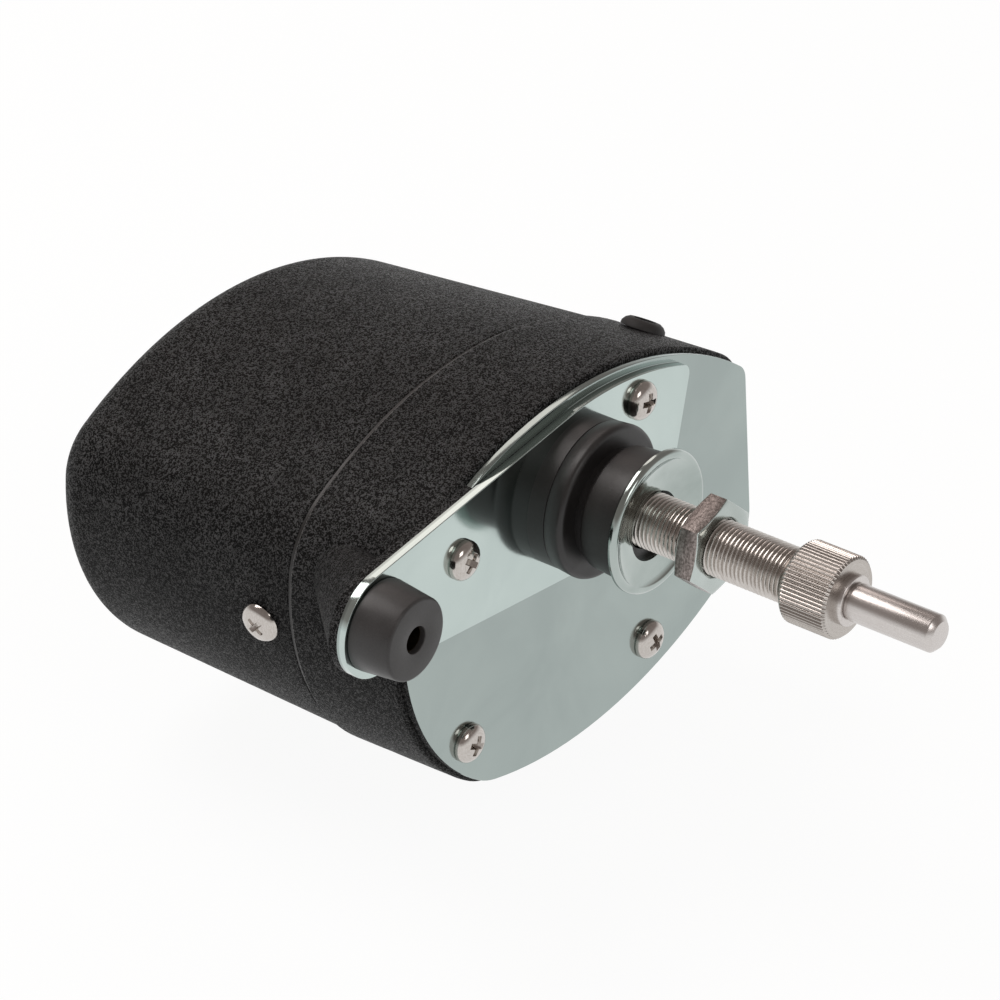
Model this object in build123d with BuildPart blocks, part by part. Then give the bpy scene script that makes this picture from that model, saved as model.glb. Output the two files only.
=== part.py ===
"""A 12 volt self parking wiper motor with a threaded mounting post and an oscillating output shaft.

The origin is where the shaft axis crosses the front face of the raised pad. +X is right, +Z is up and
the shaft points to the front, along -Y. Distances along the shaft are called ahead: they count from the
origin to the front, so what lies behind the pad has a negative value.
"""

import os
from math import acos, asin, atan2, cos, degrees, hypot, pi, radians, sin, tan

from build123d import *

os.makedirs("parts", exist_ok=True)

# Casing sizes, all in millimetres
pad_step = 1.6
sheet = 1.5
front_wall = 3.0
side_wall = 2.2
housing_depth = 20.9
housing_margin = 0.8
housing_draft = 1.0
housing_round = 0.8
seal_thickness = 0.8
cover_depth = 52.2
cover_wall = 1.6
cover_step = 0.5
cover_draft = 3.2
cover_round = 7.0
seat_gap = 0.15
thin_gap = 0.01

# Outline of the front plate: three arcs, each by its outermost point and radius, and a right side
plate_top, top_radius = (1.2, 16.5), 75.4
plate_bottom, bottom_radius = (3.9, -50.1), 82.6
plate_left, left_radius = (-42.7, -8.1), 44.5
right_side, right_slant = 49.2, 4.6
corner_left, corner_right_bottom = 15.0, 10.0
plate_corner, casing_corner = 4.0, 11.0

# The casing is drawn at a small angle to the shaft, so it leans to the left and down by these slopes
lean_left, lean_down = 0.022, 0.028

# Raised pad, its lobe and the lug behind it
lobe_centre, lobe_radius = (-50.3, -0.2), 9.1
pad_top_left, pad_top_middle, pad_top_right = (0.0, 14.6), (16.0, 13.6), (31.4, 8.8)
pad_bottom_right = (24.6, -19.3)
pad_corner = 2.2
lug_depth, lug_root, lug_root_radius = 16.0, (-38.5, -3.0), 5.0

# Output shaft, mounting post and what sits on them
shaft_radius, tip_end, tip_chamfer = 3.175, 71.0, 0.9
journal_step, tip_relief = 0.275, 0.5
running_gap = 0.05
post_radius, post_end, post_chamfer = 4.76, 44.3, 0.5
post_flange_radius, post_flange = 7.0, 0.9
bush_wall, bush_length = 0.6, 9.0
shaft_seal_length = 1.7
driver_gap = 0.4
driver_radius, driver_length, driver_ribs, rib_depth, driver_chamfer = 7.0, 8.9, 40, 0.45, 0.5
collar_radius, collar_length = 4.3, 1.3
gasket_radius, gasket_front_radius, gasket_base = 12.9, 13.3, 6.9
groove_radius, groove_width = 9.4, 1.6
gasket_neck_radius, gasket_length, gasket_bore_gap = 11.0, 14.7, 0.3
washer_radius, washer_hole, washer_sheet, washer_dish, washer_rim = 12.3, 5.9, 1.2, 1.0, 1.7
nut_flats, nut_thickness, nut_back, nut_turn, nut_chamfer = 14.3, 4.0, 25.1, 18.0, 0.7

# Bumper on the lobe
bumper_centre = (-51.0, 0.2)
bumper_radius, bumper_front_radius, bumper_height = 7.8, 7.0, 7.6
bumper_round, bumper_lip = 1.2, 1.0
insert_radius, insert_bore, bumper_hole = 3.6, 2.1, 2.3

# Screws of the front plate, the first two on the pad
plate_screw_places = [(17.2, 8.8), (-29.8, 1.5), (22.4, -40.7), (-26.5, -35.6)]
screws_on_pad = 2
screw_radius, screw_head_radius, screw_head, screw_head_round = 1.75, 3.4, 2.2, 1.0
screw_boss_radius, screw_boss_depth, screw_length = 3.6, 5.7, 9.5

# Screws through the rear cover: their directions on the left and bottom arcs, and a height on the right
left_screw_turn, bottom_screw_turn = 189.0, 283.0
right_screw_height = -14.0
cover_screw_back = 6.2
cover_screw_radius, cover_screw_length = 1.5, 3.6
cover_screw_head_radius, cover_screw_head, cover_screw_taper = 3.6, 1.6, 30.0
tab_width, tab_sheet, tab_reach = 11.0, 1.5, 15.0

# Cable outlet on the top arc of the gear housing, towards the right
outlet_turn, outlet_ahead = 60.0, -15.5
outlet_bore, outlet_neck, outlet_flange, outlet_rise = 2.0, 3.0, 4.0, 2.0
outlet_taper = 20.0

# Bulkhead between the gears and the motor
bulkhead = 1.8
bulkhead_screw_places = [(42.0, -9.0), (-21.0, -40.0), (-12.0, 9.4)]
bulkhead_screw_radius, bulkhead_boss_radius, bulkhead_screw_length = 1.5, 3.0, 7.0
bulkhead_screw_head_radius, bulkhead_screw_head = 2.7, 1.4
layer_gap = 0.6

# Gear train: motor pinion, idler wheel with its own pinion, crank gear
motor_place = (-17.0, -16.0)
crank_place = (15.0, -20.0)
pressure_angle, backlash = 25.0, 0.12
tooth_height, tooth_root = 0.9, 1.2
fast_module, pinion_teeth, wheel_teeth = 0.5, 10, 60
slow_module, idler_teeth, crank_teeth = 0.8, 10, 46
wheel_width, crank_gear_width = 2.0, 3.6
stud_radius, stud_shoulder = 2.5, 4.0
flank_points = 4

# Crank, link and rocker
crank_throw, rocker_throw = 6.0, 7.3
pin_radius, eye_radius, link_waist = 2.0, 3.2, 4.4
link_thickness, rocker_thickness, rocker_hub = 2.0, 2.2, 6.0
rocker_gap = 0.25
crank_pin_depth = 2.6
park_ring_inner, park_ring_outer, park_ring_sheet, park_notch = 10.6, 14.2, 0.3, 30.0
strip_width, strip_sheet, strip_pitch, strip_length = 1.6, 0.3, 2.6, 11.5
park_block_width, park_block_height = 5.0, 10.0
park_block_place = (37.0, -20.0)
park_gap = 0.3

# Motor
yoke_wall, yoke_side_gap, yoke_end_gap = 1.4, 0.5, 1.2
bearing_boss = 3.0
magnet_thickness, magnet_angle, magnet_overhang = 3.4, 120.0, 3.0
air_gap = 0.6
armature_shaft_radius, pinion_seat_radius = 2.0, 1.4
core_slots, slot_width, slot_depth = 8, 2.4, 6.0
winding_overhang, winding_inner, coil_gap = 3.8, 5.0, 0.1
commutator_radius, commutator_length, commutator_slit = 6.2, 8.0, 0.5
brush_width, brush_height, brush_length, brush_gap = 3.6, 4.4, 7.0, 0.3
brush_box_wall, holder_sheet, holder_bore = 0.8, 1.6, 7.4
spring_sheet, spring_width, spring_half = 0.4, 3.0, 1.4
motor_bush_radius, motor_bush_length = 4.5, 4.4
end_play = 0.4

# Places along the shaft that follow from these sizes
plate_face = -pad_step
housing_front = plate_face - sheet
seam = housing_front - housing_depth
cover_front = seam - seal_thickness
cover_back = cover_front - cover_depth
cavity_front = housing_front - front_wall
bulkhead_front = seam + bulkhead
post_back = cavity_front - post_flange
rocker_front = post_back - rocker_gap
rocker_back = rocker_front - rocker_thickness
link_front = rocker_back - layer_gap
link_back = link_front - link_thickness
crank_front = link_back - layer_gap
crank_back = crank_front - crank_gear_width
wheel_front = crank_back - layer_gap
wheel_back = wheel_front - wheel_width
driver_back = post_end + driver_gap
driver_front = driver_back + driver_length
collar_front = driver_front + collar_length
washer_front = gasket_length + washer_sheet
bush_back = bulkhead_front - motor_bush_length
holder_back = bush_back - holder_sheet
commutator_front = bush_back - 2 * end_play
commutator_back = commutator_front - commutator_length
winding_front = commutator_back - end_play
core_front = winding_front - winding_overhang
journal_radius = shaft_radius - journal_step

# Centres of the plate's arcs
top_centre = (plate_top[0], plate_top[1] - top_radius)
bottom_centre = (plate_bottom[0], plate_bottom[1] + bottom_radius)
left_centre = (plate_left[0] + left_radius, plate_left[1])

# Sizes of the casing's outline, as growth from the front plate's edge
housing_outer = housing_margin - housing_depth * tan(radians(housing_draft))
housing_inner = housing_outer - side_wall
cover_outer = housing_outer - cover_step
cover_inner = cover_outer - cover_wall
bulkhead_edge = housing_inner - 2 * seat_gap
draft_step = tan(radians(cover_draft))
tab_straight = cover_inner - draft_step * tab_reach - seat_gap
tab_outer = min(bulkhead_edge, tab_straight) - max(lean_left, lean_down) * tab_reach

# The idler lies where its wheel meets the motor pinion and its pinion meets the crank gear
fast_distance = fast_module * (pinion_teeth + wheel_teeth) / 2
slow_distance = slow_module * (idler_teeth + crank_teeth) / 2
train_x = crank_place[0] - motor_place[0]
train_z = crank_place[1] - motor_place[1]
train_length = hypot(train_x, train_z)
idler_along = (fast_distance**2 - slow_distance**2 + train_length**2) / (2 * train_length)
idler_turn = atan2(train_z, train_x) - acos(idler_along / fast_distance)
idler_place = (
    motor_place[0] + fast_distance * cos(idler_turn),
    motor_place[1] + fast_distance * sin(idler_turn),
)
fast_direction = degrees(idler_turn)
slow_direction = degrees(atan2(crank_place[1] - idler_place[1], crank_place[0] - idler_place[0]))

# At rest the crank and the rocker stand square to the link, in the middle of the stroke
crank_distance = hypot(*crank_place)
arm_turn = atan2(crank_place[1], crank_place[0]) + pi / 2 - asin((rocker_throw - crank_throw) / crank_distance)
arm_x, arm_z = cos(arm_turn), sin(arm_turn)
crank_pin_place = (crank_place[0] + crank_throw * arm_x, crank_place[1] + crank_throw * arm_z)
rocker_pin_place = (rocker_throw * arm_x, rocker_throw * arm_z)


def face(ahead):
    """The plane across the shaft at a distance ahead, facing the front."""
    return Plane.XZ.offset(ahead)


def casing_face(ahead):
    """The same plane with its origin moved by the casing's lean."""
    behind = plate_face - ahead
    origin = (-lean_left * behind, -ahead, -lean_down * behind)
    return Plane(origin=origin, x_dir=(1, 0, 0), z_dir=(0, -1, 0))


def turned(points, place=(0, 0), mode=Mode.ADD):
    """Turns a closed profile of (radius, ahead) points about the line along Y through a place."""
    section = Plane(origin=(place[0], 0, place[1]), x_dir=(1, 0, 0), z_dir=(0, 0, 1))
    with BuildSketch(section) as profile:
        with BuildLine():
            Polyline(*[(radius, -ahead) for radius, ahead in points], close=True)
        make_face()
    revolve(profile.sketch, axis=Axis((place[0], 0, place[1]), (0, 1, 0)), mode=mode)


def rod(place, radius, back, front, bore=0, mode=Mode.ADD):
    """A rod or tube along Y between two distances ahead."""
    with BuildSketch(face(back)) as profile:
        with Locations(place):
            Circle(radius)
            if bore:
                Circle(bore, mode=Mode.SUBTRACT)
    extrude(profile.sketch, amount=front - back, mode=mode)


def casing_outline(grow, top_corner=casing_corner):
    """The casing's outline, moved out from the plate's edge by grow."""
    with BuildSketch() as outline:
        with Locations(top_centre):
            Circle(top_radius + grow)
        with Locations(bottom_centre):
            Circle(bottom_radius + grow, mode=Mode.INTERSECT)
        with BuildSketch(mode=Mode.PRIVATE) as sides:
            with Locations(left_centre):
                Circle(left_radius + grow)
            with Locations((left_centre[0], 0)):
                Rectangle(2 * top_radius, 4 * top_radius, align=(Align.MIN, Align.CENTER))
            with Locations(Location((right_side, 0, 0), right_slant)):
                with Locations((grow, 0)):
                    Rectangle(
                        2 * top_radius, 4 * top_radius, align=(Align.MIN, Align.CENTER),
                        mode=Mode.SUBTRACT,
                    )
        add(sides.sketch, mode=Mode.INTERSECT)
        fillet(outline.vertices().sort_by(Axis.X)[-1], corner_right_bottom + grow)
        fillet(outline.vertices().sort_by_distance((right_side, 0))[0], top_corner + grow)
        fillet(outline.vertices().sort_by(Axis.X)[:2], corner_left + grow)
    return outline.sketch


def casing_slab(back_grow, back, front_grow, front, mode=Mode.ADD):
    """A solid of the casing's leaning outline between two distances ahead, with its growth at each."""
    with BuildSketch(casing_face(back)) as back_profile:
        add(casing_outline(back_grow))
    with BuildSketch(casing_face(front)) as front_profile:
        add(casing_outline(front_grow))
    loft([back_profile.sketch, front_profile.sketch], ruled=True, mode=mode)


def pad_outline():
    """The outline of the raised pad with its lobe."""
    lobe_x, lobe_z = lobe_centre
    reach_x, reach_z = pad_top_left[0] - lobe_x, pad_top_left[1] - lobe_z
    top_turn = atan2(reach_z, reach_x) + acos(lobe_radius / hypot(reach_x, reach_z))
    lobe_top = (lobe_x + lobe_radius * cos(top_turn), lobe_z + lobe_radius * sin(top_turn))
    reach_x, reach_z = pad_bottom_right[0] - lobe_x, pad_bottom_right[1] - lobe_z
    low_turn = atan2(reach_z, reach_x) - acos(lobe_radius / hypot(reach_x, reach_z))
    lobe_low = (lobe_x + lobe_radius * cos(low_turn), lobe_z + lobe_radius * sin(low_turn))
    with BuildSketch() as outline:
        with BuildLine():
            Line(lobe_top, pad_top_left)
            ThreePointArc(pad_top_left, pad_top_middle, pad_top_right)
            Line(pad_top_right, pad_bottom_right)
            Line(pad_bottom_right, lobe_low)
            ThreePointArc(lobe_low, (lobe_x - lobe_radius, lobe_z), lobe_top)
        make_face()
        fillet(outline.vertices().sort_by_distance(pad_top_right)[0], pad_corner)
        fillet(outline.vertices().sort_by_distance(pad_bottom_right)[0], pad_corner)
    return outline.sketch


def pad_slab(grow, back, front, mode=Mode.ADD):
    """A solid of the pad's outline moved out by grow, between two distances ahead."""
    with BuildSketch(face(back)) as profile:
        add(pad_outline())
        if grow:
            offset(amount=grow, mode=Mode.REPLACE)
    extrude(profile.sketch, amount=front - back, mode=mode)


def gear(place, module, teeth, first_tooth, bore, back, front):
    """A spur gear with involute teeth, one of them in the direction first_tooth in degrees."""
    pitch = module * teeth / 2
    base = pitch * cos(radians(pressure_angle))
    tip = pitch + tooth_height * module
    root = pitch - tooth_root * module
    half_tooth = pi / (2 * teeth) - backlash / (2 * pitch)
    half_tooth += tan(radians(pressure_angle)) - radians(pressure_angle)
    lowest = max(base, root)
    flank = []
    for step in range(flank_points):
        radius = lowest + (tip - lowest) * step / (flank_points - 1)
        lean = acos(min(1, base / radius))
        flank.append((radius, half_tooth - tan(lean) + lean))
    flank.insert(0, (root - module / 2, flank[0][1]))
    side = [(radius * cos(turn), radius * sin(turn)) for radius, turn in flank]
    other_side = [(x, -z) for x, z in reversed(side)]
    with BuildSketch(face(back)) as profile:
        with Locations(place):
            Circle(root)
            with PolarLocations(0, teeth, start_angle=first_tooth):
                Polygon(*side, *other_side, align=None)
            Circle(bore, mode=Mode.SUBTRACT)
    extrude(profile.sketch, amount=front - back)


def bar_with_eyes(start, end, start_radius, end_radius, waist, bore, back, front):
    """A flat bar along the line between two places, with a round eye and a hole at each."""
    length = hypot(end[0] - start[0], end[1] - start[1])
    turn = degrees(atan2(end[1] - start[1], end[0] - start[0]))
    middle = ((start[0] + end[0]) / 2, (start[1] + end[1]) / 2)
    with BuildSketch(face(back)) as profile:
        with Locations(Location((*middle, 0), turn)):
            Rectangle(length, waist)
        with Locations(start):
            Circle(start_radius)
        with Locations(end):
            Circle(end_radius)
        with Locations(start):
            Circle(bore[0], mode=Mode.SUBTRACT)
        with Locations(end):
            Circle(bore[1], mode=Mode.SUBTRACT)
    extrude(profile.sketch, amount=front - back)


def finish(piece, name):
    """Labels a finished piece and writes it."""
    piece.part.label = name
    export_step(piece.part, f"parts/{name}.step")


def wall_plane(wall, grow, ahead):
    """The plane that touches the casing's wall at a screw, facing outwards."""
    (centre_x, centre_z), radius, turn = wall
    reach = radius + grow
    behind = plate_face - ahead
    out_x, out_z = cos(radians(turn)), sin(radians(turn))
    wall_x = centre_x + reach * out_x - lean_left * behind
    wall_z = centre_z + reach * out_z - lean_down * behind
    return Plane(origin=(wall_x, -ahead, wall_z), x_dir=(0, 1, 0), z_dir=(out_x, 0, out_z))


# Each screwed stretch of wall has the centre, radius and direction of its arc, or a point of its own
right_screw_x = right_side - right_screw_height * tan(radians(right_slant))
screw_walls = [
    (left_centre, left_radius, left_screw_turn),
    (bottom_centre, bottom_radius, bottom_screw_turn),
    ((right_screw_x, right_screw_height), 0.0, right_slant),
]
cover_screw_ahead = cover_front - cover_screw_back
cover_skin = cover_outer - draft_step * cover_screw_back
cover_skin += (draft_step + lean_left) * cover_screw_head_radius


def arc_room(growth, ahead):
    """The least distance from the motor's axis to the casing's arcs at a growth and distance ahead."""
    behind = plate_face - ahead
    rooms = []
    for (centre_x, centre_z), radius in (
        (top_centre, top_radius), (bottom_centre, bottom_radius), (left_centre, left_radius)
    ):
        reach_x = motor_place[0] - centre_x + lean_left * behind
        reach_z = motor_place[1] - centre_z + lean_down * behind
        rooms.append(radius + growth - hypot(reach_x, reach_z))
    return min(rooms)


# The motor's yoke fills the room inside the bulkhead's tabs and the cover
yoke_back = cover_back + cover_wall + yoke_end_gap + bearing_boss
yoke_growth = cover_inner - draft_step * (cover_front - yoke_back)
tab_room = arc_room(tab_outer - tab_sheet, seam - tab_reach)
yoke_radius = min(tab_room, arc_room(yoke_growth, yoke_back)) - yoke_side_gap
rear_bush_back = yoke_back - bearing_boss + yoke_wall
core_back = rear_bush_back + motor_bush_length + 3 * end_play + winding_overhang
core_length = core_front - core_back
core_radius = yoke_radius - yoke_wall - magnet_thickness - air_gap


# Front plate: polished sheet with a pad pressed forward from it
with BuildPart() as front_plate:
    with BuildSketch(face(housing_front)):
        add(casing_outline(0.0, plate_corner))
    extrude(amount=sheet)
    pad_slab(0.0, housing_front, 0.0)
    pad_slab(-sheet, housing_front, -sheet, mode=Mode.SUBTRACT)
    rod((0, 0), post_radius + seat_gap, housing_front, 0.0, mode=Mode.SUBTRACT)
    for place in plate_screw_places:
        rod(place, screw_radius + seat_gap, housing_front, 0.0, mode=Mode.SUBTRACT)
finish(front_plate, "front_plate")

# Gear housing: open at the back, with a land behind the pad, a lug and screw bosses
with BuildPart() as gear_housing:
    casing_slab(housing_outer, seam, housing_margin, housing_front)
    fillet(gear_housing.faces().sort_by(Axis.Y)[0].edges(), housing_round)
    with BuildSketch(face(housing_front)):
        with Locations(lobe_centre):
            Circle(lobe_radius)
    with BuildSketch(face(housing_front - lug_depth)):
        with Locations(lug_root):
            Circle(lug_root_radius)
    loft()
    pad_slab(-sheet - seat_gap, housing_front - front_wall / 2, -sheet - seat_gap)
    casing_slab(housing_inner, seam, housing_inner, cavity_front, mode=Mode.SUBTRACT)
    for place in plate_screw_places:
        rod(place, screw_boss_radius, cavity_front - screw_boss_depth, cavity_front)
    for place in bulkhead_screw_places:
        rod(place, bulkhead_boss_radius, bulkhead_front, cavity_front)
    for index, place in enumerate(plate_screw_places):
        head_seat = 0.0 if index < screws_on_pad else plate_face
        rod(place, screw_radius + thin_gap, head_seat - screw_length - seat_gap, 0.0, mode=Mode.SUBTRACT)
    for place in bulkhead_screw_places:
        screw_end = seam + bulkhead_screw_length + seat_gap
        rod(place, bulkhead_screw_radius + thin_gap, bulkhead_front, screw_end, mode=Mode.SUBTRACT)
    rod((0, 0), post_radius + thin_gap, cavity_front, 0.0, mode=Mode.SUBTRACT)
    outlet_plane = wall_plane((top_centre, top_radius, outlet_turn), housing_margin, outlet_ahead)
    with BuildSketch(outlet_plane):
        Circle(outlet_neck + thin_gap)
    extrude(amount=outlet_flange, both=True, mode=Mode.SUBTRACT)
finish(gear_housing, "gear_housing")

# Rubber seal in the seam
with BuildPart() as housing_seal:
    with BuildSketch(casing_face(cover_front)):
        add(casing_outline(cover_outer - seat_gap))
        add(casing_outline(cover_inner), mode=Mode.SUBTRACT)
    extrude(amount=seal_thickness)
finish(housing_seal, "housing_seal")

# Rear cover: a deep drawn cup that narrows a little to the back
with BuildPart() as rear_cover:
    casing_slab(cover_outer - draft_step * cover_depth, cover_back, cover_outer, cover_front)
    fillet(rear_cover.faces().sort_by(Axis.Y)[-1].edges(), cover_round)
    with BuildPart(mode=Mode.PRIVATE) as cover_hollow:
        hollow_back = cover_back + cover_wall
        hollow_growth = cover_inner - draft_step * (cover_depth - cover_wall)
        casing_slab(hollow_growth, hollow_back, cover_inner, cover_front)
        fillet(cover_hollow.faces().sort_by(Axis.Y)[-1].edges(), cover_round - cover_wall)
    add(cover_hollow.part, mode=Mode.SUBTRACT)
    for wall in screw_walls:
        with BuildSketch(wall_plane(wall, cover_skin, cover_screw_ahead)):
            Circle(cover_screw_radius + seat_gap)
        extrude(amount=-2 * cover_wall, mode=Mode.SUBTRACT)
finish(rear_cover, "rear_cover")

# Bulkhead: steel plate that closes the gear case, with three bent tabs for the cover's screws
with BuildPart() as bulkhead_plate:
    with BuildSketch(casing_face(seam - tab_reach)):
        add(casing_outline(tab_outer))
        add(casing_outline(tab_outer - tab_sheet), mode=Mode.SUBTRACT)
        with BuildSketch(mode=Mode.PRIVATE) as tab_places:
            for (centre_x, centre_z), radius, turn in screw_walls:
                out_x, out_z = cos(radians(turn)), sin(radians(turn))
                with Locations(Location((centre_x + radius * out_x, centre_z + radius * out_z, 0), turn)):
                    Rectangle(4 * side_wall + 4 * tab_sheet, tab_width)
        add(tab_places.sketch, mode=Mode.INTERSECT)
    extrude(amount=tab_reach + bulkhead / 2)
    with BuildSketch(casing_face(seam)):
        add(casing_outline(bulkhead_edge))
    extrude(amount=bulkhead)
    rod(motor_place, motor_bush_radius + thin_gap, seam, bulkhead_front, mode=Mode.SUBTRACT)
    for place in (crank_place, idler_place):
        rod(place, stud_radius + thin_gap, seam, bulkhead_front, mode=Mode.SUBTRACT)
    for place in bulkhead_screw_places:
        rod(place, bulkhead_screw_radius + seat_gap, seam, bulkhead_front, mode=Mode.SUBTRACT)
    for wall in screw_walls:
        with BuildSketch(wall_plane(wall, cover_skin, cover_screw_ahead)):
            Circle(cover_screw_radius + thin_gap)
        extrude(amount=-2 * side_wall - tab_sheet, mode=Mode.SUBTRACT)
finish(bulkhead_plate, "bulkhead_plate")

# Screws of the front plate
with BuildPart() as plate_screws:
    for index, place in enumerate(plate_screw_places):
        seat = 0.0 if index < screws_on_pad else plate_face
        rod(place, screw_radius, seat - screw_length, seat)
        with BuildPart(mode=Mode.PRIVATE) as head:
            rod(place, screw_head_radius, seat, seat + screw_head)
            fillet(head.faces().sort_by(Axis.Y)[0].edges(), screw_head_round)
        add(head.part)
finish(plate_screws, "plate_screws")

# Screws of the rear cover
with BuildPart() as cover_screws:
    for wall in screw_walls:
        with BuildSketch(wall_plane(wall, cover_skin, cover_screw_ahead)):
            Circle(cover_screw_radius)
        extrude(amount=-cover_screw_length)
        with BuildSketch(wall_plane(wall, cover_skin, cover_screw_ahead)):
            Circle(cover_screw_head_radius)
        extrude(amount=cover_screw_head, taper=cover_screw_taper)
finish(cover_screws, "cover_screws")

# Screws of the bulkhead
with BuildPart() as bulkhead_screws:
    for place in bulkhead_screw_places:
        rod(place, bulkhead_screw_radius, seam, seam + bulkhead_screw_length)
        rod(place, bulkhead_screw_head_radius, seam - bulkhead_screw_head, seam)
finish(bulkhead_screws, "bulkhead_screws")

# Grommet in the cable outlet
with BuildPart() as cable_grommet:
    with BuildSketch(outlet_plane):
        Circle(outlet_neck)
    extrude(amount=-side_wall)
    with BuildSketch(outlet_plane):
        Circle(outlet_flange)
    extrude(amount=outlet_rise, taper=outlet_taper)
    with BuildSketch(outlet_plane.offset(outlet_rise)):
        Circle(outlet_bore)
    extrude(amount=-outlet_rise - side_wall, mode=Mode.SUBTRACT)
finish(cable_grommet, "cable_grommet")

# Threaded post with its flange inside the gear housing
bush_outer = journal_radius + running_gap + bush_wall
with BuildPart() as threaded_post:
    turned(
        [
            (bush_outer + thin_gap, post_back),
            (post_flange_radius, post_back),
            (post_flange_radius, cavity_front),
            (post_radius, cavity_front),
            (post_radius, post_end - post_chamfer),
            (post_radius - post_chamfer, post_end),
            (bush_outer + thin_gap, post_end),
        ]
    )
finish(threaded_post, "threaded_post")

# Bushes at both ends of the post
with BuildPart() as post_bushes:
    front_bush_end = post_end - shaft_seal_length - seat_gap
    rod((0, 0), bush_outer, post_back, post_back + bush_length, journal_radius + running_gap)
    rod((0, 0), bush_outer, front_bush_end - bush_length, front_bush_end, journal_radius + running_gap)
finish(post_bushes, "post_bushes")

# Seal ring in the mouth of the post
with BuildPart() as shaft_seal:
    rod((0, 0), bush_outer, post_end - shaft_seal_length, post_end - seat_gap, journal_radius + running_gap)
finish(shaft_seal, "shaft_seal")

# Stepped rubber gasket round the post
with BuildPart() as post_gasket:
    gasket_bore = post_radius + gasket_bore_gap
    groove_front = gasket_base + groove_width
    turned(
        [
            (gasket_bore, 0.0),
            (gasket_radius, 0.0),
            (gasket_front_radius, gasket_base),
            (groove_radius, gasket_base),
            (groove_radius, groove_front),
            (gasket_neck_radius, groove_front),
            (gasket_neck_radius, gasket_length),
            (gasket_bore, gasket_length),
        ]
    )
finish(post_gasket, "post_gasket")

# Cup washer: dished, with a rolled rim
with BuildPart() as cup_washer:
    rim_front = washer_front + washer_dish
    turned(
        [
            (washer_hole, gasket_length),
            (gasket_neck_radius, gasket_length),
            (washer_radius - washer_rim / 3, gasket_length + washer_dish / 2),
            (washer_radius, gasket_length + washer_sheet),
            (washer_radius, rim_front - washer_rim / 3),
            (washer_radius - washer_rim / 3, rim_front),
            (washer_radius - washer_rim, rim_front),
            (washer_radius - 2 * washer_rim, washer_front),
            (washer_hole, washer_front),
        ]
    )
finish(cup_washer, "cup_washer")

# Hexagon nut with both faces chamfered
with BuildPart() as hex_nut:
    nut_front = nut_back + nut_thickness
    nut_corner = nut_flats / 2 / cos(pi / 6)
    chamfer_rise = nut_chamfer * tan(radians(30))
    with BuildSketch(face(nut_back)):
        RegularPolygon(nut_corner, 6, rotation=nut_turn)
        Circle(post_radius + thin_gap, mode=Mode.SUBTRACT)
    extrude(amount=nut_thickness)
    turned(
        [
            (0, nut_back),
            (nut_corner - nut_chamfer, nut_back),
            (nut_corner, nut_back + chamfer_rise),
            (nut_corner, nut_front - chamfer_rise),
            (nut_corner - nut_chamfer, nut_front),
            (0, nut_front),
        ],
        mode=Mode.INTERSECT,
    )
finish(hex_nut, "hex_nut")

# Output shaft: a journal in the post and a full size tip in front of the collar
with BuildPart() as output_shaft:
    turned(
        [
            (0, rocker_back),
            (journal_radius, rocker_back),
            (journal_radius, collar_front + tip_relief),
            (shaft_radius, collar_front + tip_relief),
            (shaft_radius, tip_end - tip_chamfer),
            (shaft_radius - tip_chamfer, tip_end),
            (0, tip_end),
        ]
    )
finish(output_shaft, "output_shaft")

# Knurled driver for the wiper arm
with BuildPart() as knurled_driver:
    rib_points = []
    for rib in range(2 * driver_ribs):
        reach = driver_radius - rib_depth * (rib % 2)
        turn = rib * pi / driver_ribs
        rib_points.append((reach * cos(turn), reach * sin(turn)))
    with BuildSketch(face(driver_back)):
        Polygon(*rib_points, align=None)
        Circle(journal_radius + thin_gap, mode=Mode.SUBTRACT)
    extrude(amount=driver_length)
    turned(
        [
            (0, driver_back),
            (driver_radius - driver_chamfer, driver_back),
            (driver_radius, driver_back + driver_chamfer),
            (driver_radius, driver_front - driver_chamfer),
            (driver_radius - driver_chamfer, driver_front),
            (0, driver_front),
        ],
        mode=Mode.INTERSECT,
    )
finish(knurled_driver, "knurled_driver")

# Collar in front of the driver
with BuildPart() as driver_collar:
    rod((0, 0), collar_radius, driver_front, collar_front, journal_radius + thin_gap)
finish(driver_collar, "driver_collar")

# Rocker lever on the back end of the output shaft, and its pin
with BuildPart() as rocker_lever:
    bores = (journal_radius + thin_gap, pin_radius + thin_gap)
    bar_with_eyes(
        (0, 0), rocker_pin_place, rocker_hub, eye_radius, link_waist, bores, rocker_back, rocker_front
    )
finish(rocker_lever, "rocker_lever")

with BuildPart() as rocker_pin:
    rod(rocker_pin_place, pin_radius, rocker_back - layer_gap / 2, rocker_front)
finish(rocker_pin, "rocker_pin")

# Rubber bumper on the lobe with a threaded insert moulded in
with BuildPart() as mounting_bumper:
    turned(
        [
            (bumper_hole, bumper_height - bumper_lip),
            (insert_radius + thin_gap, bumper_height - bumper_lip),
            (insert_radius + thin_gap, 0.0),
            (bumper_radius, 0.0),
            (bumper_front_radius, bumper_height),
            (bumper_hole, bumper_height),
        ],
        bumper_centre,
    )
    rims = mounting_bumper.edges().filter_by(GeomType.CIRCLE)
    fillet([rim for rim in rims if abs(rim.radius - bumper_front_radius) < thin_gap], bumper_round)
finish(mounting_bumper, "mounting_bumper")

with BuildPart() as bumper_insert:
    rod(bumper_centre, insert_radius, 0.0, bumper_height - bumper_lip, insert_bore)
finish(bumper_insert, "bumper_insert")

# Studs that carry the crank gear and the idler
with BuildPart() as gear_studs:
    stud_front = crank_front + layer_gap / 2
    for place, gear_back in ((crank_place, crank_back), (idler_place, wheel_back)):
        rod(place, stud_radius, seam, stud_front)
        rod(place, stud_shoulder, bulkhead_front, gear_back - seat_gap)
finish(gear_studs, "gear_studs")

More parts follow.
